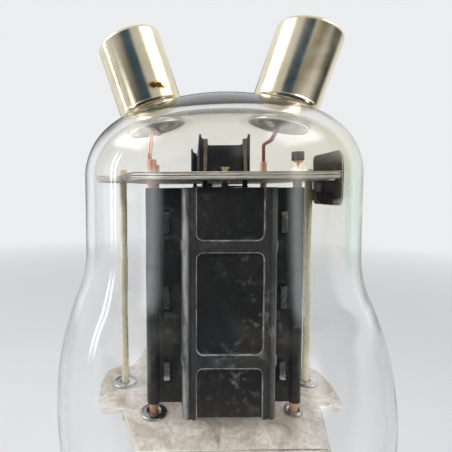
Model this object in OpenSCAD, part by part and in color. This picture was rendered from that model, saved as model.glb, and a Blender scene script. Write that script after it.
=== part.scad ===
// Twin triode valve with two top caps, in a shouldered glass bulb on a seven pin base.
// Frame: the tube axis is Z, the pin tips are at Z 0, the front faces -Y and +X is right.

/* [Piece to draw] */

/* [Levels] */
pin_length = 14;
base_height = 26;
z_low = 65;
z_top = 95;
mica_t = 0.7;

/* [Bulb] */
dome_r = 18.15;
crown_rise = 10.8;
crown_r = 28.57;
corner_r = 8.45;
flare_z = 85.45;
flare_r = 15.07;
bulge_r = 22.2;
bulge_z = 65.5;
neck_end = 33;
wall = 1.1;
crown_wall = 2.0;
stem_r = 6.5;

/* [Base] */
base_r = 17.25;
base_wall = 1.9;
base_floor = 2.6;
cement_gap = 1.05;
cement_height = 5.6;
pin_circle_r = 10.85;
pin_small_d = 3.18;
pin_large_d = 3.96;
pin_shoulder = 0.25;

/* [Top caps] */
cap_tilt = 18.6;
cap_turn = 6.4;
cap_r = 4.5;
cap_length = 10.6;
cap_sheet = 0.35;
cap_round = 0.6;
skirt_r = 4.2;
skirt_depth = 1.65;
skirt_t = 0.3;
seal_r = 5.1;
seal_depth = 2.2;
stub_r = 2.5;
stub_length = 4.2;

/* [Inner frame] */
rod_x = 8.8;
rod_y = 6.95;
rod_d = 1.06;
support_x = 13.3;
support_d = 1.06;
grid_x = 2.4;
grid_d = 0.62;
cathode_d = 0.85;
cathode_wall = 0.1;
lead_d = 0.6;
wire_d = 0.6;

/* [Anodes] */
sheet = 0.25;
box_half = 5.35;
face_depth = 3.7;
field_depth = 3.2;
field_half = 3.74;
groove_x = 4.45;
groove_r = 0.2;
anode_gap_top = 0.9;
anode_gap_low = 1.6;
field_top_h = 5.9;
field_low_h = 6.0;
rib_top_h = 1.45;
rib_low_h = 1.65;
rib_h = 1.1;
slot_x = 6.9;

/* [Getter] */
getter_x = 14.35;
getter_t = 0.25;
getter_w = 8.0;
getter_h = 7.15;
getter_y = -7.1;
getter_drop = 3.9;

/* [Clearances] */
fit = 0.03;
seat = 0.02;
mica_gap = 0.13;

/* [Smoothness] */
$fn = 64;

// Shared values worked out from the sizes above.
base_top = pin_length + base_height;
neck_r = base_r - base_wall - cement_gap;
lower_arc_r = (pow(bulge_r - neck_r, 2) + pow(bulge_z - base_top, 2)) / (2 * (bulge_r - neck_r));
crown_z = z_top + crown_rise;
crown_c = crown_z - crown_r;
corner_x = dome_r - corner_r;
corner_z = crown_c + sqrt(pow(crown_r - corner_r, 2) - pow(corner_x, 2));
corner_a = atan2(corner_z - crown_c, corner_x);
flare_a1 = dome_r + flare_r - bulge_r;
flare_b1 = flare_z - bulge_z;
upper_arc_r = (flare_a1 * flare_a1 + flare_b1 * flare_b1 - flare_r * flare_r)
    / (2 * (flare_r - flare_a1));
join_a = atan2(flare_b1, dome_r + flare_r - bulge_r + upper_arc_r);
inner_r = corner_r - wall;
inner_drop = crown_z - crown_wall - corner_z;
inner_crown_r = (corner_x * corner_x + inner_drop * inner_drop - inner_r * inner_r)
    / (2 * (inner_drop - inner_r));
inner_crown_c = crown_z - crown_wall - inner_crown_r;
inner_corner_a = atan2(corner_z - inner_crown_c, corner_x);
neck_a = acos((neck_r - bulge_r + lower_arc_r) / lower_arc_r);
press_top = z_low - 8;
press_bottom = press_top - 10;
stem_end = press_bottom - 2.5;
anode_top = z_top - mica_t - anode_gap_top;
anode_bottom = z_low + anode_gap_low;

function arc(cx, cz, r, a0, a1, n) = [
    for (i = [0 : n]) [cx + r * cos(a0 + (a1 - a0) * i / n), cz + r * sin(a0 + (a1 - a0) * i / n)]
];

// The two crowns of the bulb: the inner one is flatter, so the glass thickens to the middle.
outer_crown = concat(
    arc(0, crown_c, crown_r, 90, corner_a, 10),
    arc(corner_x, corner_z, corner_r, corner_a, 0, 12)
);
inner_crown = concat(
    arc(0, inner_crown_c, inner_crown_r, 90, inner_corner_a, 10),
    arc(corner_x, corner_z, inner_r, inner_corner_a, 0, 12)
);

// Half outline of the bulb below its crown, drawn inwards by w from shared arc centres.
function side_line(w) = concat(
    arc(dome_r + flare_r, flare_z, flare_r + w, 180, 180 + join_a, 7),
    arc(bulge_r - upper_arc_r, bulge_z, upper_arc_r - w, join_a, 0, 8),
    arc(bulge_r - lower_arc_r, bulge_z, lower_arc_r - w, -2, -neck_a, 12),
    [[neck_r - w, neck_end]]
);

function rev(v) = [for (i = [len(v) - 1 : -1 : 0]) v[i]];

function unit(v) = v / norm(v);

// Rounds each corner of a path with three points, k away from the corner.
function bends(p, k) = concat(
    [p[0]],
    [
        for (i = [1 : 1 : len(p) - 2])
            let (a = p[i] + unit(p[i - 1] - p[i]) * k, b = p[i] + unit(p[i + 1] - p[i]) * k)
                each [a, a * 0.25 + p[i] * 0.5 + b * 0.25, b]
    ],
    [p[len(p) - 1]]
);

function tangent(p, i) =
    i == 0 ? unit(p[1] - p[0])
    : i == len(p) - 1 ? unit(p[i] - p[i - 1])
    : unit(unit(p[i + 1] - p[i]) + unit(p[i] - p[i - 1]));

function ring(p, t, r, n) =
    let (u = unit(cross(t, [0.8, -0.6, 0.1])), v = cross(t, u))
    [for (j = [0 : n - 1]) p + r * (u * cos(360 * j / n) + v * sin(360 * j / n))];

// A round wire swept through a list of points, with rounded bends.
module wire(pts, d, k = 0.6, n = 8) {
    path = bends(pts, k);
    last = len(path) - 1;
    points = [
        for (i = [0 : last]) each ring(path[i], tangent(path, i), d / 2, n)
    ];
    sides = [
        for (i = [0 : last - 1]) for (j = [0 : n - 1]) for (half = [0, 1])
            half == 0
                ? [i * n + j, (i + 1) * n + j, (i + 1) * n + (j + 1) % n]
                : [i * n + j, (i + 1) * n + (j + 1) % n, i * n + (j + 1) % n]
    ];
    ends = [
        [for (j = [0 : n - 1]) j],
        [for (j = [n - 1 : -1 : 0]) last * n + j]
    ];
    polyhedron(points = points, faces = concat(sides, ends), convexity = 6);
}

// Places a child on the cap axis, whose origin lies on the outer face of the crown.
module on_cap(side) {
    rotate([0, 0, -cap_turn])
        translate([side * crown_r * sin(cap_tilt), 0, crown_c + crown_r * cos(cap_tilt)])
            rotate([0, side * cap_tilt, 0])
                children();
}

function cap_point(side, h) = [
    side * (crown_r + h) * sin(cap_tilt) * cos(cap_turn),
    -side * (crown_r + h) * sin(cap_tilt) * sin(cap_turn),
    crown_c + (crown_r + h) * cos(cap_tilt)
];

// Glass envelope

module bulb_solid() {
    rotate_extrude($fn = 128)
        polygon(concat(outer_crown, side_line(0), rev(side_line(wall)), rev(inner_crown)));
}

// Bead of glass that the skirt of a cap is sealed into.
module seal_bead() {
    rotate_extrude($fn = 64)
        polygon([
            [0, -seal_depth], [seal_r - 0.5, -seal_depth], [seal_r, -seal_depth + 0.5],
            [seal_r, -0.55], [0, -0.55]
        ]);
}

module skirt_groove() {
    rotate_extrude($fn = 96)
        translate([skirt_r - skirt_t - fit, -skirt_depth - fit])
            square([skirt_t + 2 * fit, skirt_depth + 1]);
}

module bulb() {
    color([0.86, 0.93, 0.95, 0.35])
    difference() {
        union() {
            bulb_solid();
            for (side = [-1, 1]) {
                on_cap(side) {
                    seal_bead();
                    translate([0, 0, -0.6])
                        cylinder(h = stub_length + 0.6, r = stub_r);
                }
            }
        }
        for (side = [-1, 1]) {
            on_cap(side) {
                skirt_groove();
                translate([0, 0, -seal_depth - 1])
                    cylinder(h = stub_length + seal_depth + 2, d = wire_d + 2 * fit, $fn = 24);
            }
        }
    }
}

// Flared foot of the stem, which meets the rim of the bulb.
module flare_line() {
    x = neck_r - 1;
    bend = x - stem_r;
    z = neck_end - seat + bend;
    polygon(concat(
        [[stem_r - wall, stem_end], [stem_r, stem_end]],
        arc(x, z, bend, 180, 270, 8),
        [[neck_r, z - bend], [neck_r, z - bend - wall]],
        arc(x, z, bend + wall, 270, 180, 8)
    ));
}

foot_x = 6.8;
foot_low = press_top - 5.8;
tube_y = -3.2;
tube_d = 3.2;
tube_bore = 1.6;
tube_low = 20;

module press_slab(w, t, h) {
    linear_extrude(height = h) {
        square([w - t, t], center = true);
        for (s = [-1, 1]) {
            translate([s * (w - t) / 2, 0])
                circle(d = t, $fn = 24);
        }
    }
}

module stem() {
    color([0.82, 0.9, 0.93, 0.45])
    difference() {
        union() {
            rotate_extrude($fn = 96)
                flare_line();
            translate([0, 0, press_bottom])
                press_slab(17, 4.6, press_top - press_bottom);
            hull() {
                translate([0, 0, stem_end - 0.1])
                    cylinder(h = 0.1, r = stem_r, $fn = 32);
                translate([0, 0, press_bottom + 3])
                    press_slab(17, 4.6, 0.1);
            }
        }
        translate([0, 0, stem_end - 1.5])
            cylinder(h = 3, r1 = stem_r - wall, r2 = stem_r - wall - 0.4, $fn = 48);
        for (x = [-4.4, -2.2, 0, 2.2, 4.4]) {
            translate([x, 0, stem_end - 4.5])
                cylinder(h = press_top - stem_end + 7.5, d = lead_d + 2 * fit, $fn = 24);
        }
        for (s = [-1, 1]) {
            translate([s * foot_x, 0, foot_low - 0.2])
                cylinder(h = 8, d = 1 + 2 * fit, $fn = 24);
        }
        translate([0, tube_y, stem_end - 0.5])
            cylinder(h = 8, d = tube_bore, $fn = 24);
    }
}

module exhaust_tube() {
    color([0.82, 0.9, 0.93, 0.6])
    translate([0, tube_y, tube_low])
    difference() {
        union() {
            cylinder(h = stem_end + 1.5 - seat - tube_low, d = tube_d);
            sphere(d = tube_d);
        }
        translate([0, 0, 1])
            cylinder(h = stem_end - tube_low + 5, d = tube_bore, $fn = 24);
    }
}

// Base

function pin_angle(i) = -90 + 180 / 7 + (i - 1) * 360 / 7;
function pin_at(i) = [pin_circle_r * cos(pin_angle(i)), pin_circle_r * sin(pin_angle(i)), 0];
function pin_d(i) = (i == 1 || i == 7) ? pin_large_d : pin_small_d;
function shank_d(i) = pin_d(i) - 2 * pin_shoulder;

module base_shell() {
    color([0.09, 0.07, 0.06])
    difference() {
        rotate_extrude($fn = 128)
            polygon([
                [0, pin_length], [base_r - 1.4, pin_length], [base_r - 0.9, pin_length + 0.5],
                [base_r - 0.9, pin_length + 3], [base_r, pin_length + 3.6],
                [base_r, base_top - 0.5], [base_r - 0.5, base_top],
                [base_r - base_wall + 0.3, base_top], [base_r - base_wall, base_top - 0.4],
                [base_r - base_wall, pin_length + base_floor], [0, pin_length + base_floor]
            ]);
        for (i = [1 : 7]) {
            translate(pin_at(i) + [0, 0, pin_length - 1])
                cylinder(h = base_floor + 2, d = shank_d(i) + 2 * fit, $fn = 48);
        }
    }
}

module base_cement() {
    color([0.62, 0.55, 0.45])
    translate([0, 0, neck_end + 0.6])
    difference() {
        cylinder(h = cement_height, r = base_r - base_wall - seat, $fn = 96);
        translate([0, 0, -1])
            cylinder(h = cement_height + 2, r = neck_r + seat, $fn = 96);
    }
}

module pin(i) {
    r = pin_d(i) / 2;
    s = shank_d(i) / 2;
    top = pin_length + base_floor;
    color([0.78, 0.76, 0.7])
    translate(pin_at(i))
    difference() {
        rotate_extrude($fn = 48)
            polygon(concat(
                [[0, 0]],
                arc(r - 0.9, 0.9, 0.9, -90, 0, 6),
                [[r, pin_length - seat], [s, pin_length - seat], [s, top + seat],
                    [r + 0.3, top + seat], [r + 0.1, top + 0.7], [0, top + 0.7]]
            ));
        translate([0, 0, 3])
            cylinder(h = 20, d = lead_d + 0.3, $fn = 24);
    }
}

module pin_1() { pin(1); }
module pin_2() { pin(2); }
module pin_3() { pin(3); }
module pin_4() { pin(4); }
module pin_5() { pin(5); }
module pin_6() { pin(6); }
module pin_7() { pin(7); }

// Top caps

// Drawn cup with a rolled lip, over a narrower skirt that is sealed into the crown.
module cap(side) {
    r = cap_r;
    top = cap_length;
    color([0.8, 0.75, 0.6])
    on_cap(side)
    rotate_extrude($fn = 96)
        polygon(concat(
            [[skirt_r - skirt_t, -skirt_depth], [skirt_r, -skirt_depth], [skirt_r, 0.18]],
            [[r - 0.12, 0.18], [r, 0.3], [r + 0.05, 0.5], [r, 0.75]],
            arc(r - cap_round, top - cap_round, cap_round, 0, 90, 8),
            [[0, top], [0, top - cap_sheet]],
            arc(r - cap_round, top - cap_round, cap_round - cap_sheet, 90, 0, 6),
            [[r - cap_sheet, 0.8], [skirt_r - skirt_t, 0.5]]
        ));
}

module cap_left() { cap(-1); }
module cap_right() { cap(1); }

module cap_cement(side) {
    color([0.85, 0.82, 0.74])
    on_cap(side)
    difference() {
        translate([0, 0, seat])
            cylinder(h = 3.4, r = skirt_r - skirt_t - seat);
        translate([0, 0, -1])
            cylinder(h = 6, r = stub_r + seat);
    }
}

module cap_cement_left() { cap_cement(-1); }
module cap_cement_right() { cap_cement(1); }

module anode_lead_left() {
    color([0.85, 0.55, 0.48])
    wire([
        cap_point(-1, cap_length - cap_sheet - 0.1), cap_point(-1, -seal_depth - 0.75),
        [-8.95, -2.6, z_top + 6.7], [-9.05, -5.4, z_top + 4.4],
        [-rod_x - 0.36, -rod_y + 0.78, z_top + 2.4], [-rod_x - 0.36, -rod_y + 0.78, z_top + 0.4]
    ], wire_d);
}

module anode_lead_right() {
    color([0.72, 0.4, 0.33])
    wire([
        cap_point(1, cap_length - cap_sheet - 0.1), cap_point(1, -seal_depth - 0.75),
        [8.6, 2.4, z_top + 5.9], [rod_x, rod_y, z_top + 5.9],
        [rod_x, rod_y, z_top + 2.9 + seat]
    ], wire_d);
}

// Mica spacers

module mica_outline(right_tab) {
    intersection() {
        circle(r = dome_r - wall - mica_gap, $fn = 128);
        polygon([
            [-10.5, -13.3], [10.5, -13.3], [12.95, -5.9], [right_tab, -5.9],
            [right_tab, 2.6], [15.0, 4.9], [12.95, 4.9], [10.5, 13.3],
            [-10.5, 13.3], [-12.95, 4.9], [-15.0, 4.9], [-17.5, 3.2],
            [-17.5, -1.2], [-15.7, -5.9], [-12.95, -5.9]
        ]);
    }
}

module mica(z, right_tab, rod_hole) {
    color([0.76, 0.7, 0.6])
    translate([0, 0, z - mica_t])
    linear_extrude(height = mica_t)
    difference() {
        mica_outline(right_tab);
        for (sx = [-1, 1]) {
            for (sy = [-1, 1]) {
                translate([sx * rod_x, sy * rod_y])
                    circle(d = rod_hole, $fn = 32);
                translate([sx * grid_x, sy * rod_y])
                    circle(d = grid_d + 2 * fit, $fn = 24);
            }
            translate([sx * support_x, 0])
                circle(d = rod_hole, $fn = 32);
            translate([0, sx * rod_y])
                circle(d = cathode_d + 2 * fit, $fn = 32);
        }
    }
}

module mica_top() { mica(z_top, getter_x - 0.15, rod_d + 2 * fit); }
module mica_lower() { mica(z_low, 17.5, rod_d + 0.6 + 4 * fit); }

// Rods and eyelets

module rod(x, y, low, high, c, d) {
    color(c)
    translate([x, y, low])
        cylinder(h = high - low, d = d, $fn = 32);
}

copper = [0.78, 0.48, 0.36];
nickel = [0.72, 0.68, 0.56];

module rod_front_left() { rod(-rod_x, -rod_y, z_low - 2, z_top + 1.9, copper, rod_d); }
module rod_front_right() { rod(rod_x, -rod_y, z_low - 2, z_top + 2.6, copper, rod_d); }
module rod_rear_left() { rod(-rod_x, rod_y, z_low - 2, z_top + 2.4, copper, rod_d); }
module rod_rear_right() { rod(rod_x, rod_y, z_low - 2, z_top + 2.9, copper, rod_d); }
module support_left() { rod(-support_x, 0, z_low - 5.5, z_top + 1.1, nickel, support_d); }
module support_right() { rod(support_x, 0, z_low - 5.5, z_top + 1.1, nickel, support_d); }

module support_foot(side) {
    x = support_x - support_d / 2 - 0.5 - seat;
    color([0.66, 0.64, 0.6])
    wire([
        [side * foot_x, 0, foot_low], [side * foot_x, 0, press_top + 1.2],
        [side * x, 0, z_low - 4.4], [side * x, 0, z_low - 1.4]
    ], 1);
}

module support_foot_left() { support_foot(-1); }
module support_foot_right() { support_foot(1); }

// Flanged tube pressed into the lower spacer, with its lower lip rolled over.
module eyelet(x, y, flange) {
    r0 = rod_d / 2 + fit;
    r1 = r0 + 0.3;
    low = z_low - mica_t - seat;
    high = z_low + seat;
    color([0.7, 0.69, 0.66])
    translate([x, y, 0])
    rotate_extrude($fn = 48)
        polygon(concat(
            [[r0, low - 0.35], [r1 + 0.15, low - 0.35], [r1 + 0.45, low - 0.15],
                [r1 + 0.45, low], [r1, low], [r1, high], [flange, high]],
            arc(flange - 0.1, high + 0.14, 0.17, -40, 90, 4),
            [[r0 + 0.55, high + 0.42], [r0 + 0.2, high + 0.42], [r0, high + 0.25]]
        ));
}

module eyelet_support_left() { eyelet(-support_x, 0, 1.65); }
module eyelet_support_right() { eyelet(support_x, 0, 1.65); }
module eyelet_front_left() { eyelet(-rod_x, -rod_y, 1.65); }
module eyelet_front_right() { eyelet(rod_x, -rod_y, 1.05); }
module eyelet_rear_left() { eyelet(-rod_x, rod_y, 1.05); }
module eyelet_rear_right() { eyelet(rod_x, rod_y, 1.65); }

// Anodes, each of two pressed half shells; depth is measured out from the plane of the rods

// Top and bottom of each field, the middles of the ribs, and the middle and height of each slot.
fields = [
    [anode_top, anode_top - field_top_h],
    [anode_top - field_top_h - rib_top_h, anode_bottom + field_low_h + rib_low_h],
    [anode_bottom + field_low_h, anode_bottom]
];
rib_levels = [(fields[0][1] + fields[1][0]) / 2, (fields[1][1] + fields[2][0]) / 2];
slot_levels = [
    [anode_top - 4.2, 3.2], [(anode_top + anode_bottom) / 2, 3.4], [anode_bottom + 4.1, 2.9]
];

module shell_outline(half, depth, r, low) {
    difference() {
        union() {
            translate([-half, low])
                square([2 * half, depth - low - r]);
            translate([-half + r, depth - r - 0.01])
                square([2 * (half - r), r + 0.01]);
            for (s = [-1, 1]) {
                translate([s * (half - r), depth - r])
                    circle(r = r, $fn = 40);
            }
        }
        translate([-half - 5, low - 10])
            square([2 * half + 10, 10]);
    }
}

// A rounded field in the face, drawn as a block along depth.
module field_block(i, grow, d0, d1) {
    top = fields[i][0] + (i == 0 ? 2 : 0) + grow;
    bottom = fields[i][1] - (i == 2 ? 2 : 0) - grow;
    half = field_half + grow;
    r = 0.75 + grow;
    translate([0, d0, 0])
        rotate([-90, 0, 0])
            linear_extrude(height = d1 - d0) {
                translate([-half + r, -top])
                    square([2 * (half - r), top - bottom]);
                translate([-half, -top + r])
                    square([2 * half, top - bottom - 2 * r]);
                for (x = [-half + r, half - r]) {
                    for (z = [-top + r, -bottom - r]) {
                        translate([x, z])
                            circle(r = r, $fn = 32);
                    }
                }
            }
}

module along_anode(z0, z1) {
    translate([0, 0, z0])
        linear_extrude(height = z1 - z0)
            children();
}

// Upright groove that parts each corner column from the frame of the fields.
module grooves(grow) {
    for (s = [-1, 1]) {
        translate([s * groove_x, face_depth + 0.02])
            circle(r = groove_r + grow, $fn = 24);
    }
}

module pressed_box() {
    difference() {
        union() {
            along_anode(anode_bottom, anode_top)
                shell_outline(box_half, face_depth, 0.6, seat / 2);
            for (z = rib_levels) {
                along_anode(z - rib_h / 2, z + rib_h / 2)
                    shell_outline(box_half + 0.14, face_depth, 0.65, seat / 2);
            }
        }
        along_anode(anode_bottom - 1, anode_top + 1)
            grooves(0);
        for (i = [0 : 2]) {
            field_block(i, 0, field_depth, face_depth + 1);
        }
        difference() {
            along_anode(anode_bottom - 1, anode_top + 1)
                shell_outline(box_half - sheet, face_depth - sheet, 0.35, -1);
            for (i = [0 : 2]) {
                field_block(i, sheet, field_depth - sheet, face_depth);
            }
            along_anode(anode_bottom - 2, anode_top + 2)
                grooves(sheet);
        }
    }
}

module flange_slots(d0) {
    for (s = [-1, 1]) {
        for (v = slot_levels) {
            translate([s * slot_x - 0.42, d0, v[0] - v[1] / 2])
                cube([0.84, 2, v[1]]);
        }
    }
}

module outer_half() {
    difference() {
        union() {
            pressed_box();
            for (s = [-1, 1]) {
                along_anode(anode_bottom, anode_top)
                    translate([s > 0 ? box_half - sheet : -8.2, seat / 2])
                        square([8.2 - box_half + sheet, sheet]);
                along_anode(anode_bottom, anode_top)
                    translate([s * rod_x, 0])
                        circle(r = rod_d / 2 + fit + sheet, $fn = 40);
            }
        }
        for (s = [-1, 1]) {
            along_anode(anode_bottom - 1, anode_top + 1)
                translate([s * rod_x, 0])
                    circle(r = rod_d / 2 + fit, $fn = 40);
        }
        flange_slots(-1);
    }
}

module inner_half() {
    edge = rod_x - rod_d / 2 - fit - sheet - seat;
    pressed_box();
    for (s = [-1, 1]) {
        along_anode(anode_bottom, anode_top)
            translate([s > 0 ? box_half - sheet : -edge, seat / 2])
                square([edge - box_half + sheet, sheet]);
        for (v = slot_levels) {
            translate([s * slot_x - 0.125, -sheet - 0.33, v[0] - v[1] / 2 + 0.3])
                cube([0.25, sheet + 0.5, v[1] - 0.6]);
            translate([s * slot_x - (s > 0 ? 0.125 : 0.6), -sheet - 0.33, v[0] - v[1] / 2 + 0.3])
                cube([0.725, 0.2, v[1] - 0.6]);
        }
    }
}

// Puts a half shell on its anode: side -1 is the front one, facing says which way it opens.
module place_half(y, facing) {
    translate([0, y, 0])
        scale_y(facing)
            children();
}

module scale_y(facing) {
    if (facing > 0) {
        children();
    } else {
        mirror([0, 1, 0])
            children();
    }
}

carbon = [0.07, 0.07, 0.075];

module anode_front_outer() { color(carbon) place_half(-rod_y, -1) outer_half(); }
module anode_front_inner() { color(carbon) place_half(-rod_y, 1) inner_half(); }
module anode_rear_outer() { color(carbon) place_half(rod_y, 1) outer_half(); }
module anode_rear_inner() { color(carbon) place_half(rod_y, -1) inner_half(); }

// Grids

module grid_rods(y) {
    color([0.74, 0.7, 0.6])
    for (s = [-1, 1]) {
        translate([s * grid_x, y, z_low - 2.8])
            cylinder(h = z_top - z_low + 7.2, d = grid_d, $fn = 24);
    }
}

module grid_rods_front() { grid_rods(-rod_y); }
module grid_rods_rear() { grid_rods(rod_y); }

coil_a = grid_x + grid_d / 2 + 0.1;
coil_b = 1.15;
coil_turns = 20;
coil_steps = 12;
coil_low = anode_bottom + 0.8;
coil_high = anode_top + 0.6;

function coil_at(t) = [
    coil_a * cos(360 * t),
    coil_b * sin(360 * t),
    coil_low + (coil_high - coil_low) * t / coil_turns
];

function coil_ring(t, w) =
    let (p = coil_at(t), n = [cos(360 * t) * coil_b, sin(360 * t) * coil_a, 0], u = n / norm(n))
    [p + u * w, p + [0, 0, w], p - u * w, p - [0, 0, w]];

module grid_winding(y) {
    n = coil_turns * coil_steps;
    pts = [for (i = [0 : n]) for (q = coil_ring(i / coil_steps, 0.075)) q];
    sides = [
        for (i = [0 : n - 1]) for (j = [0 : 3]) for (k = [0, 1])
            k == 0
                ? [4 * i + j, 4 * i + (j + 1) % 4, 4 * (i + 1) + (j + 1) % 4]
                : [4 * i + j, 4 * (i + 1) + (j + 1) % 4, 4 * (i + 1) + j]
    ];
    ends = [[3, 2, 1], [3, 1, 0], [4 * n, 4 * n + 1, 4 * n + 2], [4 * n, 4 * n + 2, 4 * n + 3]];
    color([0.6, 0.57, 0.52])
    translate([0, y, 0])
        polyhedron(points = pts, faces = concat(sides, ends), convexity = 4);
}

module grid_winding_front() { grid_winding(-rod_y); }
module grid_winding_rear() { grid_winding(rod_y); }

// Cooling fin: a plate behind the grid rods, notched over the cathode, with two pointed wings
// folded back.
fin_half = 3.1;
fin_gap = 0.06;
notch_half = cathode_d / 2 + 0.2;
notch_top = 0.97;

module grid_fin(y, facing) {
    d = grid_d / 2 + seat;
    color([0.08, 0.08, 0.085])
    translate([0, y, z_top])
    scale_y(-facing) {
        translate([0, d, 0])
            rotate([90, 0, 0])
                translate([0, 0, -sheet])
                    linear_extrude(height = sheet)
                        polygon([
                            [-fin_half, fin_gap], [-notch_half, fin_gap],
                            [-notch_half, notch_top], [notch_half, notch_top],
                            [notch_half, fin_gap], [fin_half, fin_gap],
                            [fin_half, 5.1], [2.3, 4.0], [1.9, 3.7], [-1.9, 3.7],
                            [-2.3, 4.0], [-fin_half, 5.1]
                        ]);
        for (s = [-1, 1]) {
            translate([s > 0 ? fin_half - sheet : -fin_half, d, 0])
                rotate([90, 0, 90])
                    linear_extrude(height = sheet)
                        polygon([[0, fin_gap], [2.3, fin_gap], [2.3, 3.2], [0.25, 5.1], [0, 5.1]]);
        }
    }
}

module grid_fin_front() { grid_fin(-rod_y, -1); }
module grid_fin_rear() { grid_fin(rod_y, 1); }

// Cathodes and heaters

// Sleeve that stands in both spacers and flares out at its upper end.
module cathode(y) {
    top = z_top + 0.9;
    low = z_low - 2.5;
    color([0.76, 0.71, 0.58])
    translate([0, y, 0])
    difference() {
        union() {
            translate([0, 0, low])
                cylinder(h = top - low, d = cathode_d, $fn = 32);
            translate([0, 0, top - 0.2])
                cylinder(h = 0.2, d = cathode_d + 0.36, $fn = 32);
        }
        translate([0, 0, low - 1])
            cylinder(h = top - low + 2, d = cathode_d - 2 * cathode_wall, $fn = 32);
    }
}

module cathode_front() { cathode(-rod_y); }
module cathode_rear() { cathode(rod_y); }

module coating(y) {
    color([0.9, 0.9, 0.88])
    translate([0, y, anode_bottom + 1.2])
    difference() {
        cylinder(h = anode_top - anode_bottom - 2.4, d = cathode_d + 0.26, $fn = 32);
        translate([0, 0, -1])
            cylinder(h = anode_top - anode_bottom, d = cathode_d + 0.02, $fn = 32);
    }
}

module coating_front() { coating(-rod_y); }
module coating_rear() { coating(rod_y); }

heater_x = 0.2;
heater_d = 0.18;

module heater(y) {
    low = z_low - 4.6;
    high = anode_top - 1.4;
    color([0.93, 0.93, 0.9])
    wire([
        [-heater_x, y, low], [-heater_x, y, high - 0.5], [0, y, high], [heater_x, y, high - 0.5],
        [heater_x, y, low]
    ], heater_d, 0.15, 6);
}

module heater_front() { heater(-rod_y); }
module heater_rear() { heater(rod_y); }

// Getter

module getter_plate() {
    r = 0.9;
    color([0.13, 0.1, 0.08])
    translate([getter_x, getter_y, z_top - getter_drop])
        rotate([90, 0, 90])
            linear_extrude(height = getter_t) {
                translate([r, 0])
                    square([getter_w - 2 * r, getter_h]);
                translate([0, r])
                    square([getter_w, getter_h - 2 * r]);
                for (u = [r, getter_w - r]) {
                    for (v = [r, getter_h - r]) {
                        translate([u, v])
                            circle(r = r, $fn = 32);
                    }
                }
            }
}

// Bent tab that welds the getter plate to the right support rod.
module getter_strap() {
    x0 = support_x + support_d / 2 + seat;
    x1 = getter_x - seat;
    t = 0.15;
    low = z_top - getter_drop + 0.5;
    color([0.62, 0.6, 0.55])
    union() {
        translate([x0, -0.55, low])
            cube([t, 1.1, 1.6]);
        translate([x0, -0.55, low])
            cube([x1 - x0, 1.1, t]);
        translate([x1 - t, -0.55, low])
            cube([t, 1.1, 1.2]);
    }
}

module rod_collar() {
    color([0.3, 0.3, 0.31])
    translate([rod_x, -rod_y, z_top + 1.7])
    difference() {
        cylinder(h = 1.1, d = 1.5, $fn = 32);
        translate([0, 0, -1])
            cylinder(h = 4, d = rod_d + 2 * seat, $fn = 32);
    }
}

module cement_bead() {
    color([0.93, 0.91, 0.86])
    translate([rod_x, -rod_y, z_top + seat])
    difference() {
        union() {
            sphere(r = 1.15, $fn = 32);
            translate([-0.8, -0.2, 0])
                sphere(r = 0.62, $fn = 24);
            translate([0.75, -0.35, 0])
                sphere(r = 0.75, $fn = 24);
            translate([0.1, -0.2, 0.9])
                sphere(r = 0.6, $fn = 24);
        }
        translate([-3, -3, -3])
            cube([6, 6, 3]);
        translate([0, 0, -1])
            cylinder(h = 4, d = rod_d + 2 * seat, $fn = 32);
    }
}

// Leads through the press

module lead_path(x, i, upper) {
    p = pin_at(i);
    wire(concat([
        [p[0], p[1], 5], [p[0], p[1], 20], [x, 0, neck_end + 1], [x, 0, press_top + 1]
    ], upper), lead_d);
}

heater_lead_x = heater_x + heater_d / 2 + lead_d / 2 + seat;
grid_lead_x = grid_x + grid_d / 2 + lead_d / 2 + seat;
cathode_lead_y = rod_y - cathode_d / 2 - lead_d / 2 - seat;

module lead_heater(side, i) {
    color([0.7, 0.68, 0.64])
    union() {
        lead_path(side * 2.2, i, [
            [side * heater_lead_x, -rod_y, z_low - 5.4], [side * heater_lead_x, -rod_y, z_low - 3.4]
        ]);
        wire([
            [side * 2.15, 0.12, press_top + 0.8],
            [side * heater_lead_x, rod_y, z_low - 5.5], [side * heater_lead_x, rod_y, z_low - 3.5]
        ], lead_d - 0.04);
    }
}

module lead_heater_a() { lead_heater(-1, 7); }
module lead_heater_b() { lead_heater(1, 1); }

module lead_cathode() {
    color([0.7, 0.68, 0.64])
    union() {
        lead_path(0, 4, [
            [0, 0, z_low - 4.4], [0, -cathode_lead_y, z_low - 3.2], [0, -cathode_lead_y, z_low - 1.2]
        ]);
        wire([
            [0.02, -0.1, z_low - 4.6], [0, cathode_lead_y, z_low - 3.3], [0, cathode_lead_y, z_low - 1.3]
        ], lead_d - 0.04);
    }
}

module lead_grid_front() {
    color([0.7, 0.68, 0.64])
    lead_path(-4.4, 6, [[-grid_lead_x, -rod_y, z_low - 3.4], [-grid_lead_x, -rod_y, z_low - 1.4]]);
}

module lead_grid_rear() {
    color([0.7, 0.68, 0.64])
    lead_path(4.4, 2, [[grid_lead_x, rod_y, z_low - 3.4], [grid_lead_x, rod_y, z_low - 1.4]]);
}

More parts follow.
